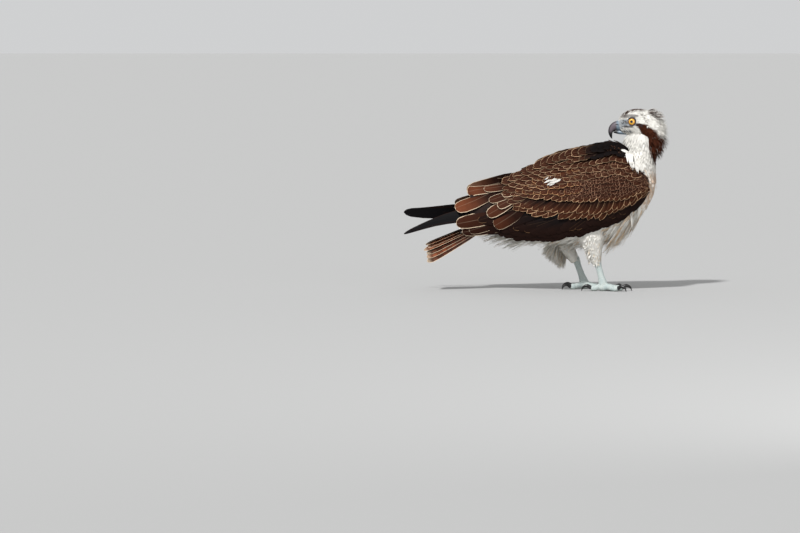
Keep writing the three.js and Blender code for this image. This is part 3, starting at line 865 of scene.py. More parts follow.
def wing_feathers(made, side, tips, length, half, lift, tint, fringe, edge, lie=None,
                  outline=SCALE, bend=0.0):
    """Feathers laid on the wing with their tips at places [x, z] seen from the side."""
    x, z = tips
    count = len(x)
    surface = wing_surface(side)
    angle = (wing_lie(x, z) if lie is None else lie) + sway(0, 0.05, count)
    stops = outline[0]
    cos, sin = np.cos(angle)[:, None], np.sin(angle)[:, None]
    room = np.maximum(8, (WRIST_X - x) / np.maximum(np.cos(angle), 0.2))
    length = (np.minimum(length, room) * draw(0.88, 1.1, count))[:, None]
    back = (1 - stops) * length
    curl = bend * np.sin(math.pi * stops) * length
    xs = x[:, None] + back * cos + curl * sin
    zs = np.minimum(z[:, None] + back * sin - curl * cos, wing_top(xs) + 2)
    low, high = lift
    high = high + draw(-0.4, 0.4, (count, 1))
    grow = low + (high - low) * stops**1.2
    path = surface(xs, zs, grow)
    normal = unit(surface(xs, zs, grow + 1.0) - path)
    edge = edge * draw(0.55, 1.25, count)
    half = half * draw(0.9, 1.1, count)
    made.add(WING_OF[side], path, normal, half, outline, tint, fringe, edge, cup=0.012, roll=-side * 0.13)


def tip_row(points, spacing):
    """Tips spread a little unevenly along a line of [x, z] points."""
    line = np.array(points, float)
    far = travel(line)
    count = max(2, int(round(far[-1] / spacing)) + 1)
    at = np.linspace(0, far[-1], count) + sway(0, spacing * 0.14, count)
    return np.interp(at, far, line[:, 0]), np.interp(at, far, line[:, 1]) + sway(0, 1.4, count)


WING_OF = {1: "wing_left", -1: "wing_right"}
WRIST_X = 93  # how far forward the folded wing's feathers begin

# Lines of [x, z] that the tips of the secondaries and coverts follow, and the last row at the shoulder
LOWER_EDGE = [
    [68, 168], [33, 141], [7, 128], [-43, 114], [-110, 101], [-160, 103], [-210, 113], [-256, 122],
]
GREATER_TIPS = [
    [88, 196], [74, 182], [57, 172], [23, 157], [0, 146], [-57, 147], [-133, 150], [-176, 164],
]
MEDIAN_TIPS = [[91, 206], [72, 194], [40, 184], [13, 180], [-57, 180], [-123, 184], [-172, 192]]
SHOULDER = [[90, 228], [60, 246], [20, 252], [-40, 242], [-100, 228], [-160, 212]]


def between(low, high, t):
    """A line of points between two others, by length along each."""
    lines = []
    for line in (low, high):
        p = np.array(line, float)
        far = travel(p)
        at = np.linspace(0, 1, 9) * far[-1]
        lines.append(stack(np.interp(at, far, p[:, 0]), np.interp(at, far, p[:, 1])))
    return mix(*lines, t)


def toned(tint, warm, stops, amount):
    """Feather colours that grow warmer from root to tip."""
    share = amount * smooth(stops * 1.6 - 0.5)
    return mix(tint[:, None], np.atleast_2d(warm)[:, None], share[:, None])


def lesser_coverts(made, side):
    """Many small scales in rows over the front of the wing, and fewer, larger ones behind them."""
    small = (10, 6.2, 0.8, 0.35, 0.6, 0.4, mix(WARM, CREAM, 0.15) * 0.75, 0.5, 17, 4.4, 3.6, 0.5)
    large = (4, 12.0, 0.7, 0.3, 0.75, 0.6, BUFF * 0.9, 0.45, 32, 8.2, 3.9, 0.7)
    for rows, spacing, dark, varied, warm, amount, pale, uneven, length, half, high, edge in (small, large):
        for row in range(1, rows + 1):
            x, z = tip_row(between(MEDIAN_TIPS, SHOULDER, row / rows), spacing)
            keep = x > -70 + draw(-14, 14, len(x)) if rows == 10 else x < -52
            x, z = x[keep], z[keep]
            count = len(x)
            tint = toned(vary(DARK * dark, count, varied), RUFOUS * warm, SCALE[0], amount)
            fringe = vary(pale, count, uneven)
            wing_feathers(made, side, (x, z), length, half, (-1.5, high), tint, fringe, edge)


def pale_patch(made, side):
    """A small ragged patch of white feathers in the middle of the right wing."""
    count = 20
    tips = (-103 + sway(0, 4.8, count), 214 + sway(0, 2.8, count))
    tint = vary(WHITE * 0.72, count, 0.12)
    wing_feathers(made, side, tips, 13, 2.6, (3.4, 5.2), tint, WHITE, 0.1, outline=WISP)


def scapulars(made, side):
    """Rows over the wing's upper edge, black near the neck and brown with pale edges behind."""
    for row, (drop, high) in enumerate([(54, 4.2), (42, 4.8), (30, 5.4), (19, 6.0), (8, 6.4), (-1, 6.8)]):
        upper = drop < 24
        xs = np.arange(30 if upper else 62 - row * 5, -204, -12.5)
        x = xs + sway(0, 1.2, len(xs))
        z = wing_top(x) - drop * mix(1.0, 0.8, smooth(-x / 200)) + sway(0, 0.9, len(xs))
        count = len(x)
        near = smooth((x + 52) / 30) * upper
        tint = tinted(vary(DARK * 0.8, count, 0.3), BLACKISH * 0.8, near)
        tint = toned(tint, tinted(RUFOUS * 0.6, BLACKISH * 0.8, near), SCALE[0], 0.5)
        edge = tinted(vary(mix(BUFF, CREAM, 0.3) * 0.9, count, 0.45), DARK * 0.8, near)
        lie = np.radians(mix(20, 36, smooth((x + 180) / 240)))
        length = 36 + 8 * smooth(-x / 150)
        wing_feathers(made, side, (x, z), length, 8.8, (-1.5, high), tint, edge, 0.7, lie)


TERTIAL_COATS = [
    # (tip x, tip z), length, half width, lie in degrees, lift, warmth
    ((-262, 120), 100, 13, 17, 0.8, 0.1),
    ((-276, 117), 112, 12, 13, 0.4, 0.1),
    ((-288, 134), 118, 15, 17, 1.2, 0.3),
    ((-290, 164), 116, 17, 21, 2.2, 1.0),
    ((-266, 197), 98, 14, 17, 2.8, 0.8),
    ((-212, 131), 74, 14, 33, 3.2, 0.4),
    ((-226, 152), 80, 14, 33, 3.8, 0.45),
    ((-222, 178), 76, 13, 26, 4.2, 0.35),
    ((-205, 168), 64, 12, 34, 5.0, 0.35),
    ((-196, 190), 62, 11, 26, 5.4, 0.3),
    ((-232, 200), 78, 12, 17, 4.6, 0.5),
]


def tertials(made, side, rise):
    """The long inner feathers over the rump, some of them rufous towards their pale-edged tips."""
    stops = BLADE[0]
    for (x, z), length, half, lie, high, warmth in TERTIAL_COATS:
        up = rise * smooth((-x - 190) / 70)
        shade = vary(DARK * 0.8, 1, 0.2)
        shade = toned(shade, vary(mix(DARK, RUFOUS * 1.15, warmth), 1, 0.15), stops, 0.9)
        if side > 0:
            shade = mix(shade, CREAM, 0.12 * smooth(stops * 2 - 1.1)[:, None])
        place = (np.array([float(x)]), np.array([z + up]))
        fringe = vary(mix(CREAM, BUFF, 0.2), 1, 0.12)
        wing_feathers(made, side, place, length, half, (-1.5, high), shade, fringe, 1.05,
                      math.radians(lie), BLADE, 0.03)


# Rows of greater coverts: share of the way to the median coverts, spacing, length, half width, lift
GREATER_ROWS = [(0, 12.5, 54, 9, 2.2), (0.3, 12.5, 44, 8.4, 2.7), (1, 11.5, 40, 8.2, 3.4)]


def wing_coat(hand_name):
    side = HANDS[hand_name]["side"]
    made = coat("wing_feathers_" + hand_name, plume, "dark_plumage", ("wing_" + hand_name,))
    for rise, high in ((0, -0.8), (8, 0.0), (17, 0.8)):
        x, z = tip_row([[a + rise * 0.6, b + rise] for a, b in LOWER_EDGE], 10.5)
        count = len(x)
        length = mix(98, 52, smooth((x + 220) / 300))
        pale = some(0.3 * (rise == 17), count)[:, None]
        edge = np.where(pale, vary(BUFF * 0.45, count, 0.3), vary(DARK * 1.1, count, 0.3))
        shade = toned(vary(BLACKISH, count, 0.25), DARK, BLADE[0], 0.7)
        lie = wing_lie(x, z) * 0.66
        wing_feathers(made, side, (x, z), length, 9, (-3, high), shade, edge, 0.5, lie, BLADE)
    for share, spacing, length, half, high in GREATER_ROWS:
        x, z = tip_row(between(GREATER_TIPS, MEDIAN_TIPS, share), spacing)
        count = len(x)
        tint = toned(vary(DARK * 0.5, count, 0.3), RUFOUS * 0.7, SCALE[0], 0.55)
        fringe = vary(mix(BUFF, CREAM, 0.2), count, 0.35)
        wing_feathers(made, side, (x, z), length, half, (-2, high), tint, fringe, 0.85)
    lesser_coverts(made, side)
    if side < 0:
        pale_patch(made, side)
    scapulars(made, side)
    tertials(made, side, HANDS[hand_name]["rise"])


def hand_coat(hand_name):
    """The folded primaries: long narrow black blades, one behind the other."""
    hand = HANDS[hand_name]
    side = hand["side"]
    made = coat("primaries_" + hand_name, glossy_plume, "dark_plumage")
    stops = np.sort(np.append(BLADE[0], [0.28, 0.52, 0.75]))
    shape = BLADE[1] if side > 0 else np.array([0.45, 0.8, 1, 0.92, 0.66, 0.42, 0.26, 0.1])
    outline = (stops, np.interp(stops, BLADE[0], shape))
    root_x = -150.0
    for i in range(7):
        tip_x = -392 + 12.5 * i * (1 + 0.1 * i)
        root_z = 138 + 2.0 * i
        root_y = abs(wing_surface(side)(root_x, root_z, -3.0)[1])
        y = mix(root_y, hand["tip_y"], stops**0.5) + 1.2 * (i - 3) * stops
        x = mix(root_x, tip_x, stops)
        share = (root_x - x) / 242
        z = mix(root_z, hand["tip_z"], share**3) + 12 * np.sin(math.pi * share) + i * 0.8 * stops
        path = stack(x, side * y, z)[None]
        normal = np.broadcast_to(unit(np.array([0, side, 0.35])), path.shape)
        made.add("wing_" + hand_name, path, normal, hand["half"] - 0.5 * i, outline, vary(BLACK, 1, 0.2),
                 vary(DARK * 1.1, 1), 0.8, thick=0.7, cup=0.008)


# Tail


def tail_coat():
    made = coat("tail_feathers", tail_plume, "brown_plumage", ("tail",))
    stops = BLADE[0]
    count = 12
    root_x = -216
    for i in range(count):
        across = i / (count - 1) * 2 - 1
        inner = 1 - abs(across)
        tip_x = root_x - 142 * (0.9 + 0.06 * inner) + draw(-4, 5)
        tip_z = mix(74, 96, (across + 1) / 2) - 16 * across**2
        z = mix(144, tip_z, stops) + 6.4 * inner - (1 - stops) * 4
        path = stack(mix(root_x, tip_x, stops), across * mix(12, 26, stops), z)[None]
        normal = np.broadcast_to(unit(np.array([0.28, 0.85 * across, 1])), path.shape)
        shade = vary(DARK, 1, 0.25)
        shade = toned(shade, vary(RUFOUS * (0.5 + 0.7 * (i % 2)), 1, 0.2), stops, 0.7)
        shade = mix(shade, CREAM, 0.4 * smooth((stops - 0.93) / 0.06)[:, None])
        fringe = vary(mix(CREAM, BUFF, 0.3), 1, 0.25)
        made.add("tail", path, normal, 10.5, BLADE, shade, fringe, 0.8, thick=0.7, cup=0.004)
    for row in range(5):
        for across in np.linspace(-1, 1, 7):
            tail_covert(made, row, across, True)
            tail_covert(made, row, across, False)


def tail_covert(made, row, across, upper):
    """One feather over or under the tail's root."""
    up = 1 if upper else -1
    high = mix(174, 158, row / 4) if upper else 122
    root = np.array([-196 - 13 * row, across * mix(24, 15, row / 4), high - 12 * across**2 * up])
    reach = np.array([-30, across * 3, -14 if upper else -12]) * draw(0.9, 1.15)
    path = (root + reach * SCALE[0][:, None])[None]
    normal = np.broadcast_to(unit(np.array([0.2, across * 0.6, up])), path.shape)
    colour = vary(DARK, 1, 0.3) if upper else vary(WHITE, 1, 0.08)
    edge = vary(BUFF * 0.8, 1) if upper else WHITE
    made.add("tail", path, normal, 7.5, SCALE, colour, edge, 0.9)


# Neck and head


def neck_colours(p, count):
    """White, with a dark stripe down the nape, which faces forward because the head is turned back; painted
    shade darkens the top of the neck under the head.
    """
    x, z = p[..., 0], p[..., 2]
    tint = vary(WHITE, count, 0.07)
    wash = smooth((258 - z) / 24) * smooth((x - 78) / 20) * draw(0.4, 1, count)
    tint = tinted(tint, BUFF, 0.8 * wash)
    stripe = smooth((x - 96 - 0.35 * np.maximum(290 - z, 0)) / 5) * smooth((z - 262) / 8)
    tint = tinted(tint, STRIPE * draw(0.6, 1.2, (count, 1)), stripe)
    mantle = some(smooth((52 - x) / 8) * smooth((290 - z) / 12), count)
    # Painted shade: the top of the neck, under the head, darkened by a random amount
    tint = tinted(tint, 0, smooth((z - 285) / 25) * draw(0, 0.3, count))
    return tinted(tint, vary(BLACKISH, count, 0.3), mantle)


def neck_coat():
    made = coat("neck_feathers", plume, "white_plumage")
    u, v = ring_rows(neck_at, np.linspace(0.1, 0.98, 36), 3.6)
    u = u + draw(-0.02, 0.02, len(u))
    p = neck_at(u, v)
    keep = ~inside_loft(TORSO_ROWS, p, -6) & ~inside_loft(HEAD_ROWS, head_local(p), 0.5)
    u, v, p = u[keep], v[keep], p[keep]
    count = len(u)
    flow = -Z_AXIS + sway(0, 0.12, (count, 3))
    length = draw(15, 23, count)
    throat = smooth((74 - p[:, 0]) / 22) * smooth((p[:, 2] - 245) / 20)
    lift = (-2, draw(0.4, 1.8, count) + 5.5 * throat * draw(0.5, 1.1, count))
    path, normal = lay(neck_at, u, v, 0.01, 0.03, flow, length, lift, WISP[0], neck_middle, (0.0, 1.0))
    tint = neck_colours(p, count)
    made.wisps("neck", path, normal, draw(1.8, 3.1, count), tint, np.minimum(tint * 1.05, 0.93))
    bib(made, -1)
    bib(made, 1)


def bib(made, side):
    """White feathers of the lower neck that spread over the top of a wing."""
    count = 520
    x = 48 + 42 * draw(0, 1, count) ** 0.8
    z = 236 + 13 * ((x - 71) / 18) ** 2 + draw(0, 24, count) + sway(0, 3, count)
    stops = WISP[0]
    length = draw(22, 30, count)
    low = z + length < wing_top(x) + 4 + 2.5 * np.maximum(x - 58, 0)
    x, z, length = x[low], z[low], length[low]
    count = len(x)
    lean = sway(0, 0.12, count)
    xs = x[:, None] + (1 - stops) * (length * np.sin(lean))[:, None]
    zs = z[:, None] + (1 - stops) * (length * np.cos(lean))[:, None]
    over = np.maximum(0, zs - wing_top(xs))
    grow = 3.2 + 2.4 * stops + draw(0, 1.5, (count, 1))
    path = wing_surface(side)(xs, np.minimum(zs, wing_top(xs)), grow) + stack(0, -side * 0.25 * over, over)
    normal = np.broadcast_to(unit(np.array([0.15, side, 0.35])), path.shape)
    tint = vary(WHITE, count, 0.08)
    dark = some(0.25 * smooth((62 - x) / 12), count)
    tint = tinted(tint, vary(BLACKISH, count, 0.3), dark)
    made.wisps(WING_OF[side], path, normal, draw(1.8, 3.1, count), tint, tint)


def near_line(x, z, points, width):
    """How close places are to a line of [x, z] points, from 1 on it to 0 at its width."""
    line = np.array(points, float)
    best = np.full(np.shape(x), 1e9)
    for a, b, wa, wb in zip(line[:-1], line[1:], width[:-1], width[1:]):
        ab = b - a
        t = np.clip(((x - a[0]) * ab[0] + (z - a[1]) * ab[1]) / (ab @ ab), 0, 1)
        away = np.hypot(x - a[0] - t * ab[0], z - a[1] - t * ab[1]) / mix(wa, wb, t)
        best = np.minimum(best, away)
    return 1 - smooth((best - 0.75) / 0.35)


FACE_LINES = [
    # Colour, share, how far from the middle it begins, [x, z] points and widths
    # Painted shade under the brow ridge: the first line is a dark band just above the eye
    (srgb(70, 60, 60), 0.65, 8, [[34, 12], [24, 15], [8, 15]], [2.6, 3, 2.6]),
    (srgb(60, 66, 74), 0.8, 6, [[46, -14], [34, -15], [24, -14]], [1.8, 1.8, 1.2]),
    (srgb(52, 44, 46), 0.75, 8, [[34, -6], [24, -7], [6, -3], [0, -4]], [2, 2, 2.4, 3]),
]


def head_colours(q, count):
    """Markings by place on the head, and painted shade above the eye: q is in the head's own frame."""
    x, y, z = q[..., 0], np.abs(q[..., 1]), q[..., 2]
    tint = vary(WHITE, count, 0.06)
    crown = smooth((z - 9) / 6) * smooth((x + 10) / 14) * smooth((18 - y) / 8)
    tint = tinted(tint, STRIPE * 0.8, 0.95 * crown * some(0.78, count))
    stripe = near_line(x, z, [[5, -4], [-5, -10], [-17, -24], [-31, -40], [-34, -66]], [5, 10, 17, 19, 14])
    stripe = stripe * smooth((y - 4) / 6 + (x < -26))
    tint = tinted(tint, STRIPE * draw(0.55, 1.3, (count, 1)), stripe)
    lore = near_line(x, z, [[47, -3], [38, -1], [30, 1], [24, 2]], [11, 9, 8, 6])
    tint = tinted(tint, srgb(120, 132, 144), lore * draw(0.5, 0.85, count))
    for colour, share, out, points, widths in FACE_LINES:
        tint = tinted(tint, colour, share * near_line(x, z, points, widths) * (y > out))
    return tinted(tint, DARK, 0.7 * lore * some(0.22, count))


def head_coat():
    made = coat("head_feathers", plume, "white_plumage")
    u, v = ring_rows(head_at, np.concatenate([np.arange(44, 8, -1.8), np.arange(8, -47, -2.3)]), 2.5)
    u = u + draw(-0.8, 0.8, len(u))
    p = head_at(u, v)
    x, y, z = np.moveaxis(head_local(p), -1, 0)
    keep = (np.hypot(x - EYE_AT[0], z - EYE_AT[2]) >= EYE_RADIUS + 1.6) | (np.abs(y) <= 8)
    keep &= ~((x > 41) & (z < 8) & (z > -14))
    keep &= ~inside_tube(NECK_PATH, NECK_SIZE, p, -6)
    u, v, x, y, z = (values[keep] for values in (u, v, x, y, z))
    count = len(u)
    rear = smooth((4 - x) / 34)
    under = smooth((-8 - z) / 14)
    flow = turned(stack(-1, 0, -0.15 - 1.6 * under - 0.45 * rear) + sway(0, 0.09, (count, 3)), HEAD_YAW)
    length = mix(mix(5.0, 12.5, rear), 17.0, under * smooth((34 - x) / 10)) * draw(0.85, 1.2, count)
    lift = (-1.0, mix(0.4, 1.5, rear) * draw(0.7, 1.4, count))
    path, normal = lay(head_at, u, v, 0.6, 0.03, flow, length, lift, WISP[0], head_centre, (-47, 47))
    tint = head_colours(stack(x, y, z), count)
    half = mix(1.0, 2.1, rear) * draw(0.85, 1.15, count)
    made.wisps("head", path, normal, half, tint, np.minimum(tint * 1.05, 0.93), 0.3, 0.03)


def crest_coat():
    """The shaggy feathers of the rear crown and nape, standing out past the head's outline."""
    made = coat("crest_feathers", plume, "white_plumage")
    count = 1100
    z = draw(-52, 20, count)
    turn = draw(-1.35, 1.35, count)
    back = np.interp(z, [-52, -30, 0, 14, 24], [-34, -42, -38, -28, -14])
    wide = np.interp(z, [-52, -30, 0, 14, 24], [22, 22, 22, 20, 16])
    root = stack(back + (1 - np.cos(turn)) * 26 + 5, np.sin(turn) * wide, z - 1)
    heights = [-52, -20, 10, 24]
    length = np.interp(z, heights, [20, 23, 21, 15]) * draw(0.7, 1.2, count)
    length = length * (1 - 0.5 * smooth((np.abs(turn) - 0.6) / 0.4) * smooth((z + 26) / 10))
    out = stack(
        -np.cos(turn) * np.interp(z, heights, [0.45, 0.75, 0.95, 0.8]),
        np.sin(turn) * 0.45,
        np.interp(z, heights, [-1.0, -0.6, -0.02, 0.26]),
    )
    path = sprout(root, unit(out + sway(0, 0.15, (count, 3))), length, 2.2)
    up = unit(stack(-np.cos(turn) * 0.4, np.sin(turn) * 0.7, 0.8))
    tint = head_colours(root, count)
    stops = WISP[0]
    ends = some(0.75, count) & (z > 6)
    shade = each_stop(tint, stops)
    shade = mix(shade, STRIPE * 0.8, 0.85 * (ends[:, None] & (stops > 0.45))[..., None])
    pale = some(0.15, count) & (z <= -8)
    shade = mix(shade, WHITE, (pale[:, None] & (stops > 0.8))[..., None])
    normal = each_stop(turned(up, HEAD_YAW), stops)
    fringe = np.minimum(tint * 1.05, 0.93)
    made.wisps("head", head_world(path), normal, draw(1.0, 1.8, count), shade, fringe, cup=0.03)
    crown_tuft(made)


def crown_tuft(made):
    """Longer dark-tipped feathers that rise from the rear of the crown."""
    count = 210
    x = draw(-30, -10, count)
    y = draw(-17, 17, count)
    root = stack(x, y, sample(HEAD_ROWS, x, 1) - 0.022 * y**2 - 1.5)
    out = stack(-1, 0.018 * y + sway(0, 0.12, count), 0.12 + 0.012 * (x + 30) + sway(0, 0.1, count))
    path = sprout(root, unit(out), draw(13, 20, count), 1.6)
    stops = WISP[0]
    shade = each_stop(vary(WHITE, count, 0.06), stops)
    dark = some(0.85, count)
    shade = mix(shade, STRIPE * 0.9, (dark[:, None] & (stops > 0.35))[..., None])
    normal = each_stop(unit(turned(stack(0, 0.03 * y, 1), HEAD_YAW)), stops)
    made.wisps("head", head_world(path), normal, draw(1.2, 2.0, count), shade, WHITE, 0.35, 0.03)


# Legs


def thigh_coat(leg_name):
    leg = LEGS[leg_name]
    region = "thigh_" + leg_name
    surface = thigh_surface(leg)
    made = coat("thigh_feathers_" + leg_name, plume, "white_plumage")

    def middle(t):
        return curve(thigh_path(leg), t)

    u, v = ring_rows(surface, np.linspace(0.04, 0.98, 32), 3.6)
    p = surface(u, v)
    keep = ~inside_loft(TORSO_ROWS, p, -7)
    u, v, p = u[keep], v[keep], p[keep]
    count = len(u)
    rear = smooth((middle(u)[:, 0] - p[:, 0]) / 14)
    fluff = leg["fluff"] * rear * smooth((1.15 - u) / 0.8)
    flow = stack(-0.2 - 0.7 * rear * leg["fluff"], 0, -1) + sway(0, 0.1, (count, 3))
    length = (15 + 15 * fluff) * mix(1.0, 0.62, smooth((u - 0.55) / 0.4)) * draw(0.85, 1.15, count)
    lift = (-2, 0.8 + 3.6 * fluff * draw(0.3, 1, count))
    path, normal = lay(surface, u, v, 0.02, 0.03, flow, length, lift, WISP[0], middle, (0.0, 1.0))
    tint = vary(WHITE, count, 0.06)
    cream = some(0.1, count)
    tint = tinted(tint, vary(mix(WHITE, CREAM, 0.6), count, 0.06), cream)
    made.wisps(region, path, normal, draw(1.9, 3.1, count), tint, np.minimum(tint * 1.05, 0.93))
    # The trailing fluff behind the thigh
    count = int(480 * leg["fluff"])
    t = draw(0.3, 0.9, count)
    turn = draw(-1.0, 1.0, count)
    root = middle(t) + stack(-8 - 6 * np.cos(turn) * leg["fluff"], 13 * np.sin(turn) * (1.3 - t), 0)
    length = mix(29, 18, smooth((t - 0.3) / 0.6)) * leg["fluff"] * draw(0.7, 1.1, count)
    back = draw(-1.1, -0.1, count)
    way = unit(stack(back, 0.5 * np.sin(turn) + sway(0, 0.2, count), -0.9 + sway(0, 0.2, count)))
    path = sprout(root, way, length, 4)
    normal = each_stop(unit(stack(-0.6, np.sin(turn) + leg["side"] * 0.3, -0.1)), WISP[0])
    tint = vary(WHITE * 0.95, count, 0.16)
    cream = some(0.2, count)
    tint = tinted(tint, vary(mix(WHITE, CREAM * 0.8, 0.7), count, 0.1), cream)
    made.wisps(region, path, normal, draw(1.7, 3.0, count), tint, tint)


def loop(count):
    """Angles of points spread evenly round a ring."""
    return np.linspace(0, ROUND, count, endpoint=False)


def loft_faces(rings):
    """Corner lists of a mesh through rings of equally many points, with an end face at both ends."""
    m, n = np.shape(rings)[:2]
    index = np.arange(m * n).reshape(m, n)
    ahead = np.roll(index, -1, axis=1)
    quads = stack(index[:-1], index[1:], ahead[1:], ahead[:-1])
    return [*quads.reshape(-1, 4), index[0], index[-1][::-1]]


def closed_loft(rings):
    """A closed mesh through rings: its points and its faces."""
    return np.reshape(rings, (-1, 3)), loft_faces(rings)


def object_from(name, pieces, paint):
    """One mesh object from several closed pieces of (points in millimetres, faces)."""
    base = 0
    faces = []
    for points, corners in pieces:
        faces += [face + base for face in corners]
        base += len(points)
    totals = np.array([len(face) for face in faces])
    points = np.concatenate([points for points, _ in pieces])
    return new_object(name, points, np.concatenate(faces), np.cumsum(totals) - totals, totals, paint)


def remesh(made, voxel, rounds):
    """Joins a mesh's closed pieces into one surface and softens it."""
    change = made.modifiers.new("join", "REMESH")
    change.mode = "VOXEL"
    change.voxel_size = voxel
    soften = made.modifiers.new("soften", "SMOOTH")
    soften.factor = 0.5
    soften.iterations = rounds
    depsgraph = bpy.context.evaluated_depsgraph_get()
    old = made.data
    made.data = bpy.data.meshes.new_from_object(made.evaluated_get(depsgraph))
    made.modifiers.clear()
    bpy.data.meshes.remove(old)
    made.data.polygons.foreach_set("use_smooth", np.ones(len(made.data.polygons), bool))


def points_of(made):
    """A mesh's points in the bird's millimetres."""
    found = np.empty(len(made.data.vertices) * 3, np.float32)
    made.data.vertices.foreach_get("co", found)
    return found.reshape(-1, 3) / MM - SHIFT


def keep_above_floor(made):
    """Lifts points that would sink into the floor, and returns all the points."""
    p = points_of(made)
    p[:, 2] = np.maximum(p[:, 2], SOLE_GAP)
    made.data.vertices.foreach_set("co", ((p + SHIFT) * MM).astype(np.float32).ravel())
    return p


def tube_rings(path, sizes, count, sides, shape=None):
    """Rings along a tube, swollen or pinched by a shape where one is given."""
    t, turn = np.meshgrid(np.linspace(0, 1, count), loop(sides), indexing="ij")
    rings = tube_at(path, sizes, t, turn)
    if shape is None:
        return rings
    centre = curve(path, t)
    return centre + (rings - centre) * shape(t, turn)[..., None]


def finish_piece(made, tint, slot, *nodes):
    """The tint of a piece with no feathers, its box-shaped bake map and its links to the part."""
    set_colour(made.data, "tint", tint)
    for other in bpy.context.selected_objects:
        other.select_set(False)
    bpy.context.view_layer.objects.active = made
    made.select_set(True)
    made.data.uv_layers.new(name="OFBake")
    bpy.ops.object.mode_set(mode="EDIT")
    bpy.ops.mesh.select_all(action="SELECT")
    bpy.ops.uv.cube_project(cube_size=0.2)
    bpy.ops.uv.pack_islands(margin=0.002)
    bpy.ops.object.mode_set(mode="OBJECT")
    declare(made, slot, nodes)


def toe_way(leg, turn, out, height):
    """A place out from the ankle along a toe, at a height above the floor."""
    way = math.radians(turn)
    x, y, _ = leg["ankle"]
    return [x + math.cos(way) * out, y - math.sin(way) * out * leg["side"], height]


def toe_path(leg, turn, long):
    tip = TOE_RADIUS - 0.6
    heights = [(0.06, leg["ankle"][2] - 4), (0.36, TOE_RADIUS + 2.2), (0.72, tip), (1, tip)]
    return [toe_way(leg, turn, long * share, height) for share, height in heights]


def shank_scales(t, turn):
    return 1 + 0.035 * np.sin(t * 95) * np.sin(turn * 7 + 2.6 * (np.floor(t * 15) % 2))


def toe_scales(t, turn):
    """Cross scales above and knuckled pads below."""
    scutes = 0.07 * np.clip(np.sin(turn), 0, 1) * ((t * 11) % 1)
    pads = 0.1 * np.clip(-np.sin(turn), 0, 1) * np.sin(t * math.pi * 3) ** 2
    return 0.95 + scutes + pads


# Front and side radii along the shank and the toes, as shares of their own radius
SHANK_SHAPE = np.array([[1.15, 1], [0.9, 0.82], [0.92, 0.86], [1.3, 1.15]])
TOE_SHAPE = np.array([[1, 1], [1.06, 1], [0.86, 0.85], [1.1, 1.03], [0.72, 0.78]])


def leg_skin(leg_name, paint):
    """The bare leg and foot: a scaly shank, knuckled toes with cross scales above and pads below."""
    leg = LEGS[leg_name]
    top = np.add(leg["hock"], [0, 0, 6])
    rings = [tube_rings([top, leg["ankle"]], SHANK_SHAPE * TARSUS_RADIUS, 90, 40, shank_scales)]
    for turn, long, _ in leg["toes"]:
        rings.append(tube_rings(toe_path(leg, turn, long), TOE_SHAPE * TOE_RADIUS, 80, 28, toe_scales))
    part, turn = np.meshgrid(math.pi * np.linspace(0.04, 0.96, 14), loop(28), indexing="ij")
    radius = 9 * np.sin(part)
    heel = stack(1.1 * radius * np.cos(turn), radius * np.sin(turn), 8.5 * np.cos(part) - 5.4)
    rings.append(leg["ankle"] + heel)
    made = object_from("leg_" + leg_name, [closed_loft(one) for one in rings], paint)
    remesh(made, 0.0008, 2)
    x, y, z = keep_above_floor(made).T
    blotch = 0.5 + 0.5 * np.sin(x * 0.31 + 1.7 * np.sin(z * 0.23)) * np.sin(y * 0.37)
    tint = tinted(srgb(190, 198, 194), srgb(152, 168, 168), 0.6 * blotch)
    # Painted shade: the foot darkens within 4 mm of the floor
    tint = tinted(tint, srgb(110, 116, 108), 0.7 * smooth((4 - z) / 4))
    finish_piece(made, tint, "scaly_skin", "tarsus_" + leg_name, "foot_" + leg_name)


def talon(leg_name, index, paint):
    leg = LEGS[leg_name]
    turn, long, size = leg["toes"][index]
    z = toe_path(leg, turn, long)[3][2]
    bends = [(0, z + 0.8), (8 * size, z + 5 * size), (16 * size, z + 2 * size), (19.5 * size, z - 5.3)]
    path = [toe_way(leg, turn, long + out, height) for out, height in bends]
    sizes = [[4, 3.5], [3.4, 2.9], [2.1, 1.8], [0.4, 0.4]]
    number = f"{leg_name}_{index + 1}"
    made = object_from("claw_" + number, [closed_loft(tube_rings(path, sizes, 40, 24))], paint)
    away = np.linalg.norm(keep_above_floor(made) - path[0], axis=1)
    finish_piece(made, tinted(srgb(46, 44, 46), BLACK, smooth(away / 9)), "talon", "talon_" + number)


# Bill, eyes and lids

UPPER_BILL = [[36, 0, -6], [48, 0, -6], [56, 0, -10.5], [59.6, 0, -18.5], [58.4, 0, -27], [56.6, 0, -31.5]]
UPPER_SIZE = [[10.6, 9], [9, 7.4], [6.8, 5.2], [4.4, 3.5], [2.2, 1.8], [0.4, 0.4]]
LOWER_BILL = [[28, 0, -19], [42, 0, -18.4], [53.6, 0, -17.6]]
LOWER_SIZE = [[4.6, 7.5], [4.3, 6], [2.2, 2.8]]


def culmen(t, turn):
    """The upper bill's sharp ridge and the soft swelling at its root."""
    ridge = 1 + 0.06 * np.clip(np.sin(turn), 0, 1) ** 6
    return ridge * (1 + 0.05 * (1 - smooth((t - 0.12) / 0.03)) + 0.02 * np.exp(-(((t - 0.14) / 0.02) ** 2)))


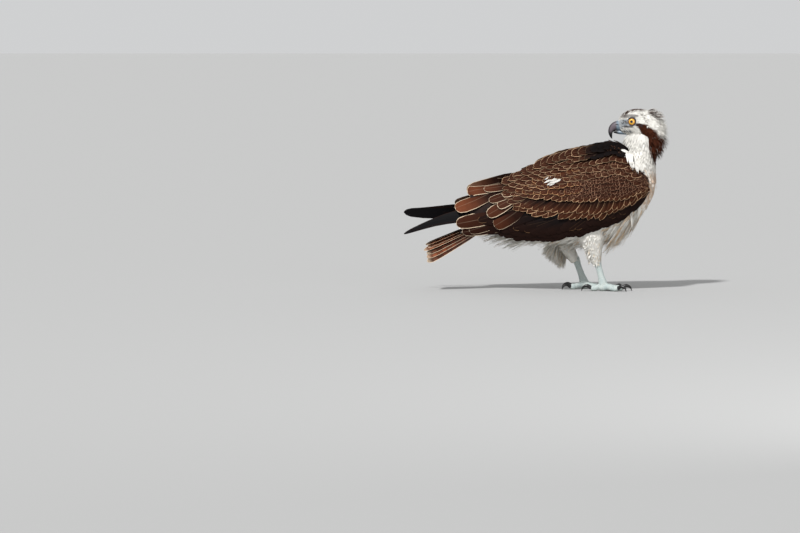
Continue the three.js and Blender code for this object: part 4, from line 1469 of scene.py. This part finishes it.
def bill(paint):
    points, faces = closed_loft(tube_rings(UPPER_BILL, UPPER_SIZE, 90, 48, culmen))
    x, z = points[:, 0], points[:, 2]
    nostril = np.exp(-(((x - 47) / 2.4) ** 2 + ((z + 3.5) / 1.3) ** 2))
    points[:, 1] *= 1 - 0.22 * nostril
    made = object_from("bill_top", [(head_world(points), faces)], paint)
    # Painted highlight: a pinkish-grey sheen on the sides of the black upper bill
    side_highlight = smooth((np.abs(points[:, 1]) - 2.2) / 2.2) * smooth((x - 46) / 5) * smooth((z + 24) / 8)
    tint = tinted(BLACK, srgb(122, 110, 118), 0.6 * side_highlight)
    tint = tinted(tint, srgb(112, 128, 142), 0.85 * (1 - smooth((x - 46) / 4)))
    # Painted shade: the nostril's hollow is painted black
    tint = tinted(tint, BLACK, np.clip(1.4 * nostril, 0, 1))
    finish_piece(made, tint, "bill", "bill_upper")
    points, faces = closed_loft(tube_rings(LOWER_BILL, LOWER_SIZE, 50, 32))
    made = object_from("bill_under", [(head_world(points), faces)], paint)
    tint = tinted(srgb(120, 134, 146), BLACK, smooth((points[:, 0] - 42) / 6))
    finish_piece(made, tint, "bill", "bill_lower")


def eye_axes(side):
    """Centre of an eye, the way it looks, and the directions across and up, in the head's frame."""
    look = unit(np.array([0.22, side, 0.02]))
    across = unit(np.cross(Z_AXIS, look))
    return EYE_AT * [1, side, 1], look, across, np.cross(look, across)


def eye(name, side):
    """A glossy ball with a black ring, a yellow iris and a black pupil, by angle from the way it looks."""
    paint = Paint("eye_" + name, 0.08, 0.6)
    base = paint.attribute("tint").outputs["Color"]
    paint.fill(paint.shader, {"Coat Weight": 0.8, "Coat Roughness": 0.03, "Base Color": base})
    centre, look, across, up = eye_axes(side)
    angles = np.concatenate([np.linspace(0.5, 24, 12), np.linspace(26, 70, 30), np.linspace(75, 178, 22)])
    a, turn = np.meshgrid(angles, loop(64), indexing="ij")
    ahead = np.cos(np.radians(a))[..., None]
    out = np.sin(np.radians(a))[..., None]
    ring = across * np.cos(turn)[..., None] + up * np.sin(turn)[..., None]
    points, faces = closed_loft(centre + EYE_RADIUS * (look * ahead - ring * out))
    ball = object_from("eye_ball_" + name, [(head_world(points), faces)], paint.material)
    a, turn = a.ravel(), turn.ravel()
    rays = 0.5 + 0.5 * np.sin(turn * 23) * np.sin(turn * 7 + 1)
    iris = tinted(srgb(236, 180, 54), srgb(196, 124, 24), np.clip((a - 26) / 22, 0, 1))
    iris = tinted(iris, srgb(150, 92, 16), 0.3 * rays)
    tint = tinted(iris, BLACK * 0.3, np.maximum(1 - smooth((a - 18) / 3), smooth((a - 47) / 5)))
    finish_piece(ball, tint, "eye", "eye_" + name)


def lid(name, side, paint):
    """A dark wrinkled ring round the eye, thicker above as a brow."""
    centre, look, across, up = eye_axes(side)
    turn, small = (angle[..., None] for angle in np.meshgrid(loop(72), loop(16), indexing="ij"))
    brow = np.maximum(0, np.sin(turn))
    radius = 1.05 + 0.85 * brow + 0.16 * np.sin(turn * 17) + 0.1 * np.sin(turn * 29 + 1)
    way = across * np.cos(turn) + up * np.sin(turn)
    middle = centre + look * (EYE_RADIUS * 0.56 + 0.6 * brow) + way * (EYE_RADIUS * 0.86 + 0.5)
    rings = middle + radius * (way * np.cos(small) + look * 0.8 * np.sin(small))
    points = head_world(rings.reshape(-1, 3))
    index = np.arange(len(points)).reshape(72, 16)
    ahead = np.roll(index, -1, axis=0)
    quads = stack(index, ahead, np.roll(ahead, -1, axis=1), np.roll(index, -1, axis=1))
    made = object_from("lid_" + name, [(points, list(quads.reshape(-1, 4)))], paint)
    finish_piece(made, np.broadcast_to(srgb(44, 42, 46), points.shape), "bill")


# The skin under the feathers


def body_skin(paint):
    """One skin for torso, neck, head, wings and thighs, a coat's depth inside the solids."""
    parts = [
        (torso_at, np.linspace(-234, 104, 60), -4.0),
        (head_at, np.linspace(-44, 44, 40), -2.2),
        (neck_at, np.linspace(0, 1, 30), -3.0),
    ]
    parts += [(thigh_surface(leg), np.linspace(0, 1, 30), -2.4) for leg in LEGS.values()]
    lofts = [surface(*np.meshgrid(keys, loop(64), indexing="ij"), grow) for surface, keys, grow in parts]
    x, share = np.meshgrid(np.linspace(94, -262, 60), np.linspace(0.03, 0.97, 24), indexing="ij")
    z = mix(wing_top(x), wing_bottom(x), share)
    for side in (-1, 1):
        outer = wing_surface(side)(x, z, np.full(x.shape, -2.6))
        inner = wing_surface(side)(x, z, -6.1 - 7 * np.sin(math.pi * share))
        lofts.append(np.concatenate([outer, inner[:, ::-1]], 1))
    tail_path = [[-200, 0, 146], [-232, 0, 140], [-262, 0, 132]]
    lofts.append(tube_rings(tail_path, [[15, 20], [10, 17], [3, 10]], 20, 32))
    made = object_from("skin", [closed_loft(rings) for rings in lofts], paint)
    remesh(made, 0.0024, 3)
    return made


def finish_skin(made):
    """Colours and bake map of the skin, each point taking after the nearest feather root."""
    roots = [root for one in coats for root in one.roots]
    regions = np.concatenate([[region] * len(places) for region, places, _ in roots])
    tints = np.concatenate([np.broadcast_to(tint, (len(places), 3)) for _, places, tint in roots])
    places = np.concatenate([places for _, places, _ in roots])
    tree = kdtree.KDTree(len(places))
    for i, place in enumerate(places):
        tree.insert(place, i)
    tree.balance()
    p = points_of(made)
    nearest = np.array([tree.find(q)[1] for q in p])
    set_colour(made.data, "tint", tints[nearest] * 0.85)
    corners = read(made.data.loops, "vertex_index")
    totals = read(made.data.polygons, "loop_total")
    face_of = np.repeat(np.arange(len(totals)), totals)
    first = corners[np.cumsum(totals) - totals]
    region_of = regions[nearest[first]][face_of]
    uv = np.zeros((len(corners), 2))
    for region, (_, low, _, high) in CHARTS.items():
        mine = region_of == region
        found = chart_place(region, p[corners[mine]])
        faces = face_of[mine]
        lowest = np.full(len(totals), 9.0)
        highest = np.full(len(totals), -9.0)
        np.minimum.at(lowest, faces, found[:, 1])
        np.maximum.at(highest, faces, found[:, 1])
        # A face that crosses the chart's seam is drawn at its upper end
        split = (highest - lowest)[faces] > high * 0.5
        found[:, 1] = np.where(split & (found[:, 1] < low + high * 0.5), low + high, found[:, 1])
        uv[mine] = found
    set_uv(made.data, "OFBake", uv)
    declare(made, "white_plumage", ("torso", "neck", "head", "thigh_right", "thigh_left"))


# Floor, light and camera


def look_at(made, place, target):
    made.location = place
    made.rotation_euler = (Vector(target) - Vector(place)).to_track_quat("-Z", "Y").to_euler()


def lamp(name, kind, energy, place, **settings):
    light = bpy.data.lights.new(name, kind)
    light.energy = energy
    for key, value in settings.items():
        setattr(light, key, value)
    look_at(link(name, light), place, (-0.1, 0.0, 0.2))


def stage_and_camera():
    scene = bpy.context.scene
    paint = Paint("floor", 0.9)
    paint.fill(paint.shader, {"Base Color": (0.4, 0.4, 0.396, 1)})
    mesh = bpy.data.meshes.new("floor")
    reach = 60.0
    corners = [(-reach, -reach, 0), (reach, -reach, 0), (reach, reach, 0), (-reach, reach, 0)]
    mesh.from_pydata(corners, [], [(0, 1, 2, 3)])
    mesh.materials.append(paint.material)
    link("floor", mesh)
    world = bpy.data.worlds.new("studio")
    world.use_nodes = True
    sky = world.node_tree.nodes["Background"]
    sky.inputs[0].default_value = (0.98, 0.99, 1.0, 1)
    sky.inputs[1].default_value = 0.64
    scene.world = world
    lamp("key", "SUN", 3.5, (-0.9, -1.6, 2.1), angle=math.radians(4))
    lamp("fill", "AREA", 18, (1.2, -2.6, 0.5), size=1.8)
    camera = link("camera", bpy.data.cameras.new("camera"))
    camera.data.lens = 180
    camera.data.sensor_width = 36
    camera.data.clip_end = 300
    distance = FRAME_WIDTH * camera.data.lens / camera.data.sensor_width
    aim = Vector((FRAME_CENTRE + SHIFT) * MM)
    look_at(camera, aim + Vector((0, -math.cos(CAMERA_RISE), math.sin(CAMERA_RISE))) * distance, aim)
    scene.camera = camera
    scene.view_settings.view_transform = "Standard"


stage_and_camera()
horn_paint = painted_material("horn", 0.32, 0.5, 300.0, 0.15, 0.08)
scale_paint = painted_material("scaly_skin", 0.6, 0.4, 620.0, 0.35, 0.5, cells=True)
skin = body_skin(skin_material())
body_coat()
loose_coat()
for hand_name in HANDS:
    wing_coat(hand_name)
    hand_coat(hand_name)
tail_coat()
neck_coat()
head_coat()
crest_coat()
for leg_name in LEGS:
    thigh_coat(leg_name)
finish_skin(skin)
for one in coats:
    one.build()
for leg_name in LEGS:
    leg_skin(leg_name, scale_paint)
    for toe in range(4):
        talon(leg_name, toe, horn_paint)
bill(horn_paint)
for name, side in (("left", 1), ("right", -1)):
    eye(name, side)
    lid(name, side, horn_paint)
